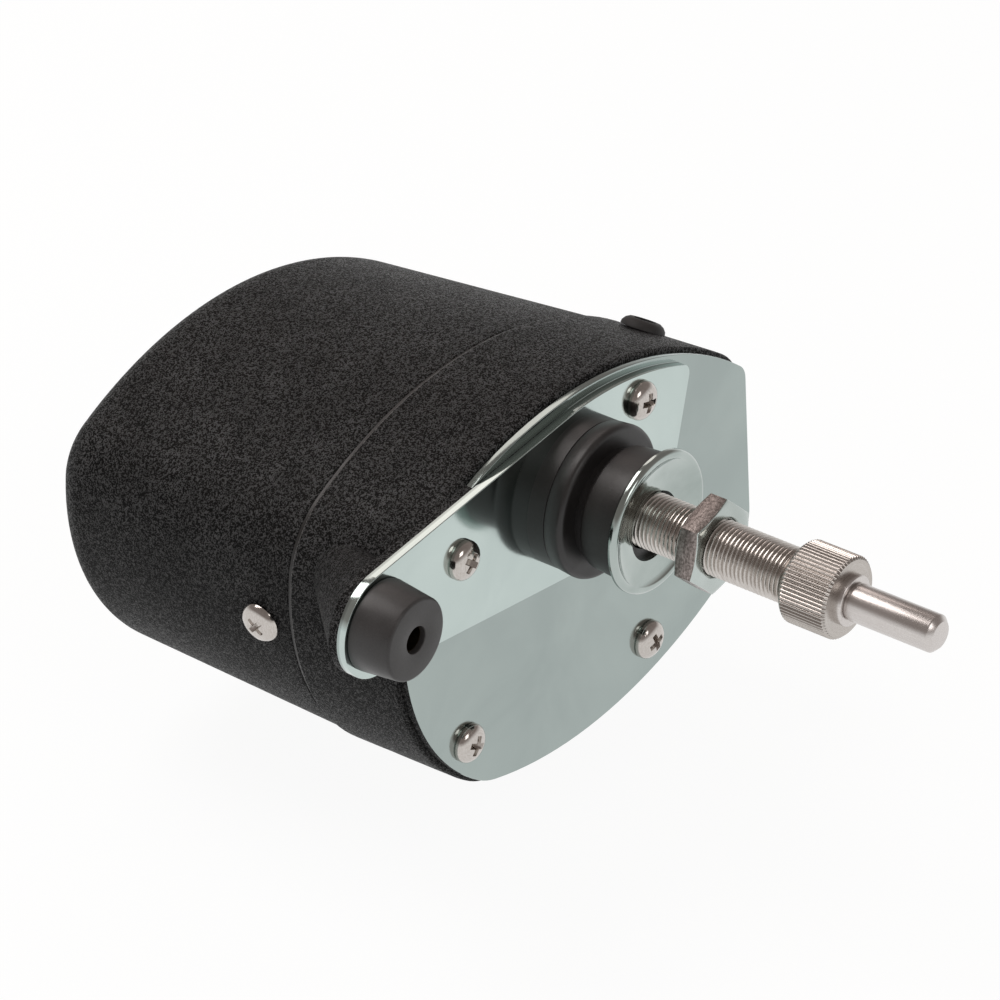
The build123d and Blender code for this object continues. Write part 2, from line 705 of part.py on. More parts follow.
# Crank gear with its pin and the park ring on its back
with BuildPart() as crank_gear:
    crank_turn = slow_direction + degrees(pi + pi / crank_teeth)
    gear(
        crank_place, slow_module, crank_teeth, crank_turn, stud_radius + running_gap, crank_back, crank_front
    )
    rod(
        crank_pin_place, pin_radius + thin_gap, crank_front - crank_pin_depth, crank_front,
        mode=Mode.SUBTRACT,
    )
finish(crank_gear, "crank_gear")

with BuildPart() as crank_pin:
    rod(crank_pin_place, pin_radius, crank_front - crank_pin_depth, link_front + layer_gap / 3)
finish(crank_pin, "crank_pin")

with BuildPart() as park_ring:
    with BuildSketch(face(crank_back - park_ring_sheet)):
        with Locations(crank_place):
            Circle(park_ring_outer)
            Circle(park_ring_inner, mode=Mode.SUBTRACT)
        with Locations(Location((*crank_place, 0), degrees(arm_turn))):
            notch_half = park_ring_outer * tan(radians(park_notch / 2))
            Polygon(
                (0, 0), (park_ring_outer, -notch_half), (park_ring_outer, notch_half),
                align=None, mode=Mode.SUBTRACT,
            )
    extrude(amount=park_ring_sheet)
finish(park_ring, "park_ring")

# Connecting link from the crank pin to the rocker pin
with BuildPart() as connecting_link:
    bores = (pin_radius + running_gap, pin_radius + running_gap)
    bar_with_eyes(
        crank_pin_place, rocker_pin_place, eye_radius, eye_radius, link_waist, bores, link_back, link_front
    )
finish(connecting_link, "connecting_link")

# Idler: a wheel that the motor pinion drives and a pinion that drives the crank gear
with BuildPart() as idler_wheel:
    wheel_turn = fast_direction + degrees(pi + pi / wheel_teeth)
    gear(
        idler_place, fast_module, wheel_teeth, wheel_turn, stud_radius + running_gap, wheel_back, wheel_front
    )
finish(idler_wheel, "idler_wheel")

with BuildPart() as idler_pinion:
    gear(
        idler_place, slow_module, idler_teeth, slow_direction, stud_radius + running_gap,
        wheel_front, crank_front,
    )
finish(idler_pinion, "idler_pinion")

# Park switch: an insulating block with three contact strips that face the ring
strip_front = crank_back - park_ring_sheet - park_gap
with BuildPart() as park_block:
    with BuildSketch(face(bulkhead_front)):
        with Locations(park_block_place):
            Rectangle(park_block_width, park_block_height)
    extrude(amount=strip_front - strip_sheet - bulkhead_front)
finish(park_block, "park_block")

with BuildPart() as park_strips:
    with BuildSketch(face(strip_front - strip_sheet)):
        strip_right = park_block_place[0] + park_block_width / 2
        with Locations((strip_right - strip_length / 2, park_block_place[1])):
            with GridLocations(0, strip_pitch, 1, 3):
                Rectangle(strip_length, strip_width)
    extrude(amount=strip_sheet)
finish(park_strips, "park_strips")

# Motor yoke: a steel can with a pocket for the rear bush
with BuildPart() as motor_yoke:
    yoke_inner = yoke_radius - yoke_wall
    pocket = motor_bush_radius + thin_gap
    turned(
        [
            (yoke_inner, seam),
            (yoke_radius, seam),
            (yoke_radius, yoke_back),
            (pocket + yoke_wall, yoke_back),
            (pocket + yoke_wall, yoke_back - bearing_boss),
            (0, yoke_back - bearing_boss),
            (0, yoke_back - bearing_boss + yoke_wall),
            (pocket, yoke_back - bearing_boss + yoke_wall),
            (pocket, yoke_back + yoke_wall),
            (yoke_inner, yoke_back + yoke_wall),
        ],
        motor_place,
    )
finish(motor_yoke, "motor_yoke")

with BuildPart() as magnets:
    magnet_outer = yoke_inner - thin_gap
    with BuildSketch(face(core_back - magnet_overhang)):
        with Locations(motor_place):
            Circle(magnet_outer)
            Circle(magnet_outer - magnet_thickness, mode=Mode.SUBTRACT)
            gap_half = yoke_radius * tan(radians(90 - magnet_angle / 2))
            for side in (-1, 1):
                Polygon(
                    (0, 0), (yoke_radius * side, -gap_half), (yoke_radius * side, gap_half),
                    align=None, mode=Mode.SUBTRACT,
                )
    extrude(amount=core_length + 2 * magnet_overhang)
finish(magnets, "magnets")

# Bushes that carry the armature
with BuildPart() as motor_bushes:
    bush_bore = armature_shaft_radius + running_gap
    rod(motor_place, motor_bush_radius, bush_back, bulkhead_front, bush_bore)
    rod(motor_place, motor_bush_radius, rear_bush_back, rear_bush_back + motor_bush_length, bush_bore)
finish(motor_bushes, "motor_bushes")

# Armature
with BuildPart() as armature_shaft:
    rod(motor_place, armature_shaft_radius, rear_bush_back + end_play, bulkhead_front)
    rod(motor_place, pinion_seat_radius, bulkhead_front, wheel_front + layer_gap / 2)
finish(armature_shaft, "armature_shaft")

with BuildPart() as motor_pinion:
    gear(
        motor_place, fast_module, pinion_teeth, fast_direction, pinion_seat_radius + thin_gap,
        wheel_back, wheel_front,
    )
finish(motor_pinion, "motor_pinion")

with BuildPart() as armature_core:
    with BuildSketch(face(core_back)):
        with Locations(motor_place):
            Circle(core_radius)
            Circle(armature_shaft_radius + thin_gap, mode=Mode.SUBTRACT)
            with PolarLocations(core_radius - slot_depth / 2, core_slots):
                Rectangle(slot_depth, slot_width, mode=Mode.SUBTRACT)
    extrude(amount=core_length)
finish(armature_core, "armature_core")

with BuildPart() as windings:
    coil_outer = core_radius - 2 * end_play
    coil_depth = slot_depth - 3 * end_play
    for end, start in ((core_front, winding_front), (core_back - winding_overhang, core_back)):
        rod(motor_place, coil_outer, min(end, start), max(end, start), winding_inner)
    with BuildSketch(face(core_back)):
        with Locations(motor_place):
            with PolarLocations(coil_outer - coil_depth / 2, core_slots):
                Rectangle(coil_depth, slot_width - 2 * coil_gap)
    extrude(amount=core_length)
finish(windings, "windings")

with BuildPart() as commutator:
    with BuildSketch(face(commutator_back)):
        with Locations(motor_place):
            Circle(commutator_radius)
            Circle(armature_shaft_radius + thin_gap, mode=Mode.SUBTRACT)
            with PolarLocations(commutator_radius, core_slots):
                Rectangle(2 * commutator_slit, commutator_slit, mode=Mode.SUBTRACT)
    extrude(amount=commutator_length)
finish(commutator, "commutator")

# Brushes, their holder and springs
brush_start = commutator_radius + brush_gap
brush_end = brush_start + brush_length
brush_back = holder_back - brush_height
with BuildPart() as brushes:
    with BuildSketch(face(brush_back)):
        with Locations(motor_place):
            with PolarLocations(brush_start + brush_length / 2, 2):
                Rectangle(brush_length, brush_width)
    extrude(amount=brush_height)
finish(brushes, "brushes")

with BuildPart() as brush_holder:
    rod(motor_place, yoke_inner - thin_gap, holder_back, bush_back, holder_bore)
    box_width = brush_width + 2 * (brush_box_wall + seat_gap)
    box_length = yoke_inner - seat_gap - brush_start - 2 * brush_gap
    box_centre = yoke_inner - seat_gap - box_length / 2 - brush_gap
    with BuildSketch(face(brush_back - brush_box_wall - seat_gap)):
        with Locations(motor_place):
            with PolarLocations(box_centre, 2):
                Rectangle(box_length, box_width)
    extrude(amount=brush_height + brush_box_wall + seat_gap)
    with BuildSketch(face(brush_back - seat_gap)):
        with Locations(motor_place):
            with PolarLocations(box_centre - brush_box_wall, 2):
                Rectangle(box_length, brush_width + 2 * seat_gap)
    extrude(amount=brush_height + seat_gap, mode=Mode.SUBTRACT)
finish(brush_holder, "brush_holder")

with BuildPart() as brush_springs:
    spring_start = brush_end + spring_sheet / 2
    spring_end = box_centre + box_length / 2 - brush_box_wall - spring_sheet
    with BuildSketch(face(brush_back + (brush_height - spring_width) / 2)):
        with BuildLine() as spring_line:
            for side in (1, -1):
                Polyline(
                    (motor_place[0] + side * spring_start, motor_place[1] - spring_half),
                    (motor_place[0] + side * spring_start, motor_place[1] + spring_half),
                    (motor_place[0] + side * spring_end, motor_place[1] - spring_half),
                    (motor_place[0] + side * spring_end, motor_place[1] + spring_half),
                )
        trace(line_width=spring_sheet)
    extrude(amount=spring_width)
finish(brush_springs, "brush_springs")
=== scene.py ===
"""Dresses the wiper motor for the studio: fine meshes, finishes, lights, floor and camera.

Sizes in the classes are millimetres. The origin is where the shaft axis crosses the front of the raised
pad, +X is right, +Z is up, and distances called ahead count from the origin to the front, along -Y.
"""

import logging
import math
from collections.abc import Callable, Sequence
from dataclasses import dataclass
from enum import Enum
from functools import cache
from typing import Any

import bmesh
import bpy
from mathutils import Matrix, Vector


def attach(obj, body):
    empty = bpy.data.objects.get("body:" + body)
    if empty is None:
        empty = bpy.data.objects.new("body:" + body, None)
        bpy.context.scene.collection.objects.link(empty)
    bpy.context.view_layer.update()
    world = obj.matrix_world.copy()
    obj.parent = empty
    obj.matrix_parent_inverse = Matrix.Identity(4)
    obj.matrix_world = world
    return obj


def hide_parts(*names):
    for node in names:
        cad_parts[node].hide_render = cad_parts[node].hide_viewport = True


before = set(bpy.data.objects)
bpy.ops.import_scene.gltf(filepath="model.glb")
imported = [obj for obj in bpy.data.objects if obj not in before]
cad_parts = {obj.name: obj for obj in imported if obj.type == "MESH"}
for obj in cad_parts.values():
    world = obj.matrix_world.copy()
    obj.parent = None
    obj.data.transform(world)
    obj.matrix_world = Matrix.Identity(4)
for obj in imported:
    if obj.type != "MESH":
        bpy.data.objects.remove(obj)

LOG = logging.getLogger("wiper_motor")
MM = 0.001
NEAR = 1e-6  # metres between points that count as one
WELD = 5e-6  # the same in a CAD mesh, whose triangles are loose
TOUCH = 0.01  # millimetres between a point and the ring that it lies on
Colour = tuple[float, float, float]
Place = tuple[float, float]
Ring = tuple[float, float]
Socket = bpy.types.NodeSocket
Material = bpy.types.Material
Node = bpy.types.Node
Edge = bmesh.types.BMEdge
Vert = bmesh.types.BMVert


class Body(Enum):
    """The bodies of the model that pieces ride on."""

    HOUSING = "housing"
    WIPER_SHAFT = "wiper_shaft"


class Axis(Enum):
    """The direction that marks follow on a turned or drawn surface."""

    AROUND = "around"
    ALONG = "along"


# Meshes


class Shape:
    """A mesh in the making, with the operators that the pieces share."""

    def __init__(self, steps: int = 96) -> None:
        """Starts an empty mesh.

        Args:
            steps: How many steps a full turn takes.
        """
        self.bm = bmesh.new()
        self.steps = steps

    @classmethod
    def of_node(cls, node: str, flat: float = 0.4) -> "Shape":
        """Copies a CAD node's mesh, merges its loose triangles and joins its flat faces.

        Args:
            node: Name of the CAD node.
            flat: Angle in degrees under which neighbouring faces count as one.

        Returns:
            The merged shape.
        """
        shape = cls()
        bm = shape.bm
        bm.from_mesh(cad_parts[node].data)
        bmesh.ops.remove_doubles(bm, verts=bm.verts, dist=WELD)
        bmesh.ops.dissolve_limit(bm, angle_limit=math.radians(flat), verts=bm.verts, edges=bm.edges)
        return shape

    def turn(self, rings: Sequence[Ring], place: Place = (0.0, 0.0)) -> None:
        """Spins a closed profile about a line along the shaft.

        Args:
            rings: Profile points as (radius, ahead).
            place: Where the line stands, as (x, z).
        """
        centre = Vector((place[0] * MM, 0.0, place[1] * MM))
        verts = [
            self.bm.verts.new(centre + Vector((radius * MM, -ahead * MM, 0.0)))
            for radius, ahead in rings
        ]
        edges = [
            self.bm.edges.new((verts[i - 1], verts[i]))
            for i in range(len(verts))
            if rings[i - 1][0] > 0.0 or rings[i][0] > 0.0
        ]
        bmesh.ops.spin(
            self.bm,
            geom=verts + edges,
            cent=centre,
            axis=(0.0, 1.0, 0.0),
            angle=math.tau,
            steps=self.steps,
            use_merge=True,
        )
        self.tidy()

    def tidy(self) -> None:
        """Merges doubles and points all faces outwards."""
        bmesh.ops.remove_doubles(self.bm, verts=self.bm.verts, dist=NEAR)
        bmesh.ops.recalc_face_normals(self.bm, faces=self.bm.faces)

    def round_off(
        self, chosen: Callable[[Edge], bool], width: float, segments: int = 3
    ) -> list[bmesh.types.BMFace]:
        """Bevels the edges that a test chooses.

        Args:
            chosen: Says of an edge whether it is rounded.
            width: Distance from the edge at which the rounding starts.
            segments: How many steps the rounding has.

        Returns:
            The faces of the rounding.
        """
        rounded = bmesh.ops.bevel(
            self.bm,
            geom=[edge for edge in self.bm.edges if chosen(edge)],
            offset=width * MM,
            offset_type="OFFSET",
            affect="EDGES",
            segments=segments,
            profile=0.5,
            clamp_overlap=True,
            material=-1,
        )
        return rounded["faces"]

    def round_ring(
        self, radius: float, ahead: float, width: float, place: Place = (0.0, 0.0), segments: int = 3
    ) -> None:
        """Bevels the round edge at one point of a turned profile.

        Args:
            radius: Radius of the edge.
            ahead: Its distance ahead.
            width: Distance from the edge at which the rounding starts.
            place: Where the turning axis stands.
            segments: How many steps the rounding has.
        """

        def on_ring(vert: Vert) -> bool:
            """Whether a vertex lies on the ring."""
            out = math.hypot(vert.co.x / MM - place[0], vert.co.z / MM - place[1])
            return abs(out - radius) < TOUCH and abs(vert.co.y / MM + ahead) < TOUCH

        self.round_off(lambda edge: all(on_ring(vert) for vert in edge.verts), width, segments)

    def stamp(self, other: "Shape", matrix: Matrix) -> None:
        """Adds a copy of another shape.

        Args:
            other: The shape to copy.
            matrix: Where the copy goes.
        """
        mesh = bpy.data.meshes.new("stamp")
        other.bm.to_mesh(mesh)
        before = set(self.bm.verts)
        self.bm.from_mesh(mesh)
        bmesh.ops.transform(
            self.bm, matrix=matrix, verts=[vert for vert in self.bm.verts if vert not in before]
        )
        bpy.data.meshes.remove(mesh)

    def cut(self, tool: "Shape") -> None:
        """Takes another closed shape out of this one.

        Args:
            tool: The shape to take out.
        """
        body, cutter = (
            bpy.data.objects.new(name, bpy.data.meshes.new(name)) for name in ("stock", "cutter")
        )
        self.bm.to_mesh(body.data)
        tool.bm.to_mesh(cutter.data)
        for each in (body, cutter):
            bpy.context.scene.collection.objects.link(each)
        boolean = body.modifiers.new("cut", "BOOLEAN")
        boolean.operation = "DIFFERENCE"
        boolean.solver = "EXACT"
        boolean.object = cutter
        bpy.context.view_layer.update()
        graph = bpy.context.evaluated_depsgraph_get()
        result = bpy.data.meshes.new_from_object(body.evaluated_get(graph))
        self.bm.clear()
        self.bm.from_mesh(result)
        for each in (body, cutter):
            mesh = each.data
            bpy.data.objects.remove(each)
            bpy.data.meshes.remove(mesh)
        bpy.data.meshes.remove(result)

    def finish(
        self,
        name: str,
        body: Body,
        finishes: Sequence["Finish"],
        slot: str,
        replaces: Sequence[str],
        sharp: float = 38.0,
        flat_area: float = 400.0,
    ) -> bpy.types.Object:
        """Makes the mesh an object of the model.

        Args:
            name: Name of the piece.
            body: The body it rides on.
            finishes: Its finishes, in slot order.
            slot: The record's material slot. It is not used.
            replaces: The CAD nodes that it stands for.
            sharp: Angle in degrees from which an edge isn't shaded smooth.
            flat_area: Size in square millimetres from which a face is shaded flat.

        Returns:
            The new object.
        """
        for face in self.bm.faces:
            face.smooth = face.calc_area() < flat_area * MM * MM
        for edge in self.bm.edges:
            edge.smooth = not edge.is_manifold or edge.calc_face_angle(0.0) < math.radians(sharp)
        mesh = bpy.data.meshes.new(name)
        self.bm.to_mesh(mesh)
        self.bm.free()
        for finish in finishes:
            mesh.materials.append(finish.made())
        piece = bpy.data.objects.new(name, mesh)
        bpy.context.scene.collection.objects.link(piece)
        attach(piece, body.value)
        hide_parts(*replaces)
        LOG.info("%s: %d faces", name, len(mesh.polygons))
        return piece


def edge_angle(edge: Edge) -> float:
    """The angle between an edge's two faces in degrees, or 0 at a border."""
    return math.degrees(edge.calc_face_angle(0.0)) if edge.is_manifold else 0.0


def reach_of(vert: Vert) -> float:
    """The distance of a vertex from the shaft axis, in millimetres."""
    return math.hypot(vert.co.x, vert.co.z) / MM


def set_reach(vert: Vert, reach: float) -> None:
    """Moves a vertex to another distance from the shaft axis."""
    share = reach / reach_of(vert)
    vert.co.x, vert.co.z = vert.co.x * share, vert.co.z * share


def on_wall(place: Place, ahead: float, facing: Place) -> Matrix:
    """Moves a shape that points to the front to a side wall, and turns it outwards.

    Args:
        place: Where it goes, as (x, z).
        ahead: Its distance ahead.
        facing: The wall's outward direction, as (x, z).

    Returns:
        The move.
    """
    lean = Vector((0.0, -1.0, 0.0)).rotation_difference(Vector((facing[0], 0.0, facing[1])))
    return Matrix.Translation((place[0] * MM, -ahead * MM, place[1] * MM)) @ lean.to_matrix().to_4x4()


# Finishes


class Wiring:
    """Adds nodes to a tree and joins them."""

    def __init__(self, tree: bpy.types.NodeTree) -> None:
        """Takes the tree to work on."""
        self.tree = tree

    def add(self, kind: str, links: dict[Any, Any] | None = None, **values: Any) -> Node:
        """Adds a node.

        Args:
            kind: The node's type.
            links: Its input sockets by name or number, each with the socket or the value that feeds it.
            **values: Attributes of the node.

        Returns:
            The node.
        """
        node = self.tree.nodes.new(kind)
        for key, value in values.items():
            setattr(node, key, value)
        for key, source in (links or {}).items():
            if isinstance(source, Socket):
                self.tree.links.new(source, node.inputs[key])
            else:
                node.inputs[key].default_value = source
        return node

    def math(self, operation: str, first: Any, second: Any = 0.0, third: Any = 0.0) -> Socket:
        """The result of a Math node on up to three sockets or numbers."""
        node = self.add("ShaderNodeMath", {0: first, 1: second, 2: third}, operation=operation)
        return node.outputs[0]

    def spread(self, value: Any, low: float, high: float, to_low: Any, to_high: Any) -> Socket:
        """Maps a range of a value on another range, and holds it there."""
        links = {0: value, 1: low, 2: high, 3: to_low, 4: to_high}
        return self.add("ShaderNodeMapRange", links).outputs[0]

    def mix(self, amount: Any, first: Any, second: Any) -> Socket:
        """Mixes two colours."""
        return self.add("ShaderNodeMix", {0: amount, 6: first, 7: second}, data_type="RGBA").outputs[2]

    def noise(
        self, place: Socket, scale: Socket, detail: float, roughness: float = 0.5, distortion: float = 0.0
    ) -> Node:
        """Adds a noise, and returns its node."""
        grain = {"Detail": detail, "Roughness": roughness, "Distortion": distortion}
        return self.add("ShaderNodeTexNoise", {"Vector": place, "Scale": scale, **grain})

    def bump(self, height: Socket, depth: Socket, distance: float) -> Socket:
        """Turns a height into a normal. The distance is in metres."""
        links = {"Height": height, "Strength": depth, "Distance": distance}
        return self.add("ShaderNodeBump", links).outputs[0]

    def scaled(self, vector: Socket, share: Any) -> Socket:
        """A vector or colour times a number."""
        return self.add("ShaderNodeVectorMath", {0: vector, "Scale": share}, operation="SCALE").outputs[0]

    def parts(self, vector: Socket) -> Any:
        """The three numbers of a vector."""
        return self.add("ShaderNodeSeparateXYZ", {0: vector}).outputs


def opaque(colour: Colour) -> tuple[float, float, float, float]:
    """A colour with full alpha."""
    return (*colour, 1.0)


class Effect:
    """A shader node group that several materials use. It is built once."""

    def __init__(self, name: str, inputs: dict[str, float], outputs: Sequence[str]) -> None:
        """Makes the group's sockets.

        Args:
            name: Name of the group.
            inputs: Its numbers, with their defaults. A vector named Place is always there too.
            outputs: Its outputs. One named Normal is a vector.
        """
        self.tree = bpy.data.node_groups.new(name, "ShaderNodeTree")
        self.tree.interface.new_socket("Place", in_out="INPUT", socket_type="NodeSocketVector")
        for title, default in inputs.items():
            socket = self.tree.interface.new_socket(title, in_out="INPUT", socket_type="NodeSocketFloat")
            socket.default_value = default
        for title in outputs:
            kind = "NodeSocketVector" if title == "Normal" else "NodeSocketFloat"
            self.tree.interface.new_socket(title, in_out="OUTPUT", socket_type=kind)
        self.wiring = Wiring(self.tree)
        self.given = self.tree.nodes.new("NodeGroupInput").outputs
        self.result = self.tree.nodes.new("NodeGroupOutput").inputs

    def give(self, title: str, socket: Socket) -> None:
        """Feeds one of the outputs."""
        self.tree.links.new(socket, self.result[title])

    def place(self, wiring: Wiring, position: Socket, **values: float) -> Any:
        """Puts the group in a material.

        Args:
            wiring: The material's wiring.
            position: The coordinates it reads.
            **values: Values of its inputs, by name in lower case.

        Returns:
            The group node's outputs.
        """
        node = wiring.add("ShaderNodeGroup", node_tree=self.tree)
        wiring.tree.links.new(position, node.inputs["Place"])
        for title, value in values.items():
            node.inputs[title.capitalize()].default_value = value
        return node.outputs


class Effects:
    """The effects that the finishes share."""

    def __init__(self) -> None:
        """Builds each group once."""
        self.wrinkle = self.build_wrinkle()
        self.grain = self.build_grain()
        self.smudge = self.build_smudge()
        self.tool_marks = self.build_tool_marks()
        self.dust = self.build_dust()

    @staticmethod
    def build_wrinkle() -> Effect:
        """Fine wrinkles of a baked paint.

        Returns:
            The group, with a mask of the crests and a normal.
        """
        warp, cell_share, cell_depth, crest_height = 0.0006, 2.3, 0.9, 0.00022
        effect = Effect("wrinkle_finish", {"Scale": 900.0, "Depth": 0.5}, ("Crest", "Normal"))
        wiring, given = effect.wiring, effect.given
        coarse = wiring.noise(given["Place"], given["Scale"], detail=3.0, roughness=0.6)
        shift = wiring.scaled(coarse.outputs["Color"], warp)
        warped = wiring.add("ShaderNodeVectorMath", {0: given["Place"], 1: shift}, operation="ADD")
        fine_scale = wiring.math("MULTIPLY", given["Scale"], cell_share)
        links = {"Vector": warped.outputs[0], "Scale": fine_scale}
        cells = wiring.add("ShaderNodeTexVoronoi", links, feature="F1").outputs["Distance"]
        height = wiring.math("MULTIPLY_ADD", cells, -cell_depth, coarse.outputs["Fac"])
        crest = wiring.spread(height, -0.03, 0.17, 0.0, 1.0)
        effect.give("Crest", crest)
        effect.give("Normal", wiring.bump(crest, given["Depth"], crest_height))
        return effect

    @staticmethod
    def build_grain() -> Effect:
        """Very fine even grain, for rubber, plating, castings and moulded plastic.

        Returns:
            The group, with a mask of the grain and a normal.
        """
        grain_height = 0.00005
        effect = Effect("fine_grain", {"Scale": 4000.0, "Depth": 0.2}, ("Grain", "Normal"))
        wiring, given = effect.wiring, effect.given
        noise = wiring.noise(given["Place"], given["Scale"], detail=2.0, roughness=0.7).outputs["Fac"]
        effect.give("Grain", wiring.spread(noise, 0.3, 0.7, 0.0, 1.0))
        effect.give("Normal", wiring.bump(noise, given["Depth"], grain_height))
        return effect

    @staticmethod
    def build_smudge() -> Effect:
        """Broad soft patches, as handling leaves them on bright metal and paint.

        Returns:
            The group, with the patches' strength.
        """
        effect = Effect("soft_patches", {"Scale": 60.0, "Low": 0.0, "High": 1.0}, ("Amount",))
        wiring, given = effect.wiring, effect.given
        noise = wiring.noise(given["Place"], given["Scale"], detail=5.0, roughness=0.55, distortion=0.6)
        effect.give("Amount", wiring.spread(noise.outputs["Fac"], 0.35, 0.68, given["Low"], given["High"]))
        return effect

    @staticmethod
    def build_tool_marks() -> Effect:
        """Fine lines round the shaft axis, as turning and polishing leave them, or along it.

        Returns:
            The group, with a mask of the lines and a normal.
        """
        turn_reach, stretch, mark_height = 0.004, 0.02, 0.00003
        effect = Effect("tool_marks", {"Scale": 5000.0, "Along": 0.0, "Depth": 0.15}, ("Line", "Normal"))
        wiring, given = effect.wiring, effect.given
        side, depth, height = wiring.parts(given["Place"])
        square = wiring.math("MULTIPLY_ADD", side, side, wiring.math("MULTIPLY", height, height))
        reach = wiring.math("SQRT", square)
        turn = wiring.math("MULTIPLY", wiring.math("ARCTAN2", side, height), turn_reach)
        slow_turn = wiring.math("MULTIPLY", turn, stretch)
        around = wiring.add("ShaderNodeCombineXYZ", {0: reach, 1: depth, 2: slow_turn})
        along = wiring.add("ShaderNodeCombineXYZ", {0: turn, 1: wiring.math("MULTIPLY", depth, stretch)})
        links = {0: given["Along"], 4: around.outputs[0], 5: along.outputs[0]}
        chosen = wiring.add("ShaderNodeMix", links, data_type="VECTOR")
        noise = wiring.noise(chosen.outputs[1], given["Scale"], detail=3.0, roughness=0.75).outputs["Fac"]
        effect.give("Line", wiring.spread(noise, 0.32, 0.68, 0.0, 1.0))
        effect.give("Normal", wiring.bump(noise, given["Depth"], mark_height))
        return effect

    @staticmethod
    def build_dust() -> Effect:
        """A thin haze that lies on faces that look up.

        Returns:
            The group, with the haze's strength.
        """
        effect = Effect("settled_dust", {"Scale": 300.0, "Amount": 0.2}, ("Mask",))
        wiring, given = effect.wiring, effect.given
        up = wiring.parts(wiring.add("ShaderNodeNewGeometry").outputs["Normal"])[2]
        noise = wiring.noise(given["Place"], given["Scale"], detail=4.0).outputs["Fac"]
        lying = wiring.spread(up, 0.1, 0.9, 0.0, 1.0)
        patchy = wiring.spread(noise, 0.35, 0.7, 0.2, 1.0)
        effect.give("Mask", wiring.math("MULTIPLY", wiring.math("MULTIPLY", lying, patchy), given["Amount"]))
        return effect


EFFECTS = Effects()


@dataclass(frozen=True)
class Finish:
    """What all finishes share."""

    name: str

    @cache
    def made(self) -> Material:
        """The material, which is made once."""
        return self.make()

    def make(self) -> Material:
        """Makes the material. Each kind of finish has its own way."""
        raise NotImplementedError

    def begin(self) -> tuple[Material, Wiring, Node, Socket]:
        """Starts a material.

        Returns:
            The material, its wiring, its shader and its Object coordinates.
        """
        material = bpy.data.materials.new(self.name)
        material.use_nodes = True
        wiring = Wiring(material.node_tree)
        shader = material.node_tree.nodes["Principled BSDF"]
        return material, wiring, shader, wiring.add("ShaderNodeTexCoord").outputs["Object"]

    @staticmethod
    def feed(shader: Node, colour: Socket, roughness: Socket, normal: Socket) -> None:
        """Joins a colour, a roughness and a normal to a shader."""
        for title, socket in (("Base Color", colour), ("Roughness", roughness), ("Normal", normal)):
            shader.id_data.links.new(socket, shader.inputs[title])


@dataclass(frozen=True)
class WrinklePaint(Finish):
    """Baked black paint with fine wrinkles."""

    # near-black valleys and much lighter crests: the paint's mottle, partly painted glint on the wrinkle
    # crests
    valley: Colour = (0.003, 0.003, 0.003)
    crest: Colour = (0.118, 0.121, 0.123)
    dust_colour: Colour = (0.12, 0.11, 0.1)
    dusty: float = 0.06
    scale: float = 1600.0
    depth: float = 1.0
    roughness: float = 0.4
    valley_roughness: float = 0.2
    sheen: float = 0.08

    def make(self) -> Material:
        """Makes the paint.

        Returns:
            The material.
        """
        material, wiring, shader, place = self.begin()
        wrinkle = EFFECTS.wrinkle.place(wiring, place, scale=self.scale, depth=self.depth)
        patches = EFFECTS.smudge.place(wiring, place, scale=90.0, low=0.7, high=1.0)
        dust = EFFECTS.dust.place(wiring, place, amount=self.dusty)
        # the crests are painted lighter than the valleys, partly as painted glint
        crest = wiring.math("MULTIPLY", wrinkle["Crest"], patches["Amount"])
        paint = wiring.mix(crest, opaque(self.valley), opaque(self.crest))
        colour = wiring.mix(dust["Mask"], paint, opaque(self.dust_colour))
        rough = wiring.spread(
            wrinkle["Crest"], 0.0, 1.0, self.roughness + self.valley_roughness, self.roughness
        )
        self.feed(shader, colour, rough, wrinkle["Normal"])
        shader.inputs["Specular IOR Level"].default_value = self.sheen
        return material


@dataclass(frozen=True)
class BrightMetal(Finish):
    """Metal with tool marks, soft patches and a fine grain.

    Here and in SheetSteel the first values are the two colours and the lowest and highest roughness.
    """

    bright: Colour = (0.66, 0.66, 0.64)
    dull: Colour = (0.52, 0.51, 0.49)
    rough_low: float = 0.12
    rough_high: float = 0.28
    marks: Axis = Axis.AROUND
    mark_scale: float = 5000.0
    mark_depth: float = 0.12
    mark_share: float = 0.5
    grain_scale: float = 3000.0
    grain_share: float = 0.3
    patch_share: float = 0.6

    def make(self) -> Material:
        """Makes the metal.

        Returns:
            The material.
        """
        material, wiring, shader, place = self.begin()
        shader.inputs["Metallic"].default_value = 1.0
        along = 1.0 if self.marks is Axis.ALONG else 0.0
        marks = EFFECTS.tool_marks.place(
            wiring, place, scale=self.mark_scale, along=along, depth=self.mark_depth
        )
        grain = EFFECTS.grain.place(wiring, place, scale=self.grain_scale)
        patches = EFFECTS.smudge.place(wiring, place)
        share = wiring.math("MULTIPLY", grain["Grain"], self.grain_share)
        worn = wiring.math("MULTIPLY_ADD", marks["Line"], self.mark_share, share)
        colour = wiring.mix(worn, opaque(self.bright), opaque(self.dull))
        rest = wiring.math("MULTIPLY", worn, 1.0 - self.patch_share)
        blend = wiring.math("MULTIPLY_ADD", patches["Amount"], self.patch_share, rest)
        rough = wiring.spread(blend, 0.0, 1.0, self.rough_low, self.rough_high)
        self.feed(shader, colour, rough, marks["Normal"])
        return material


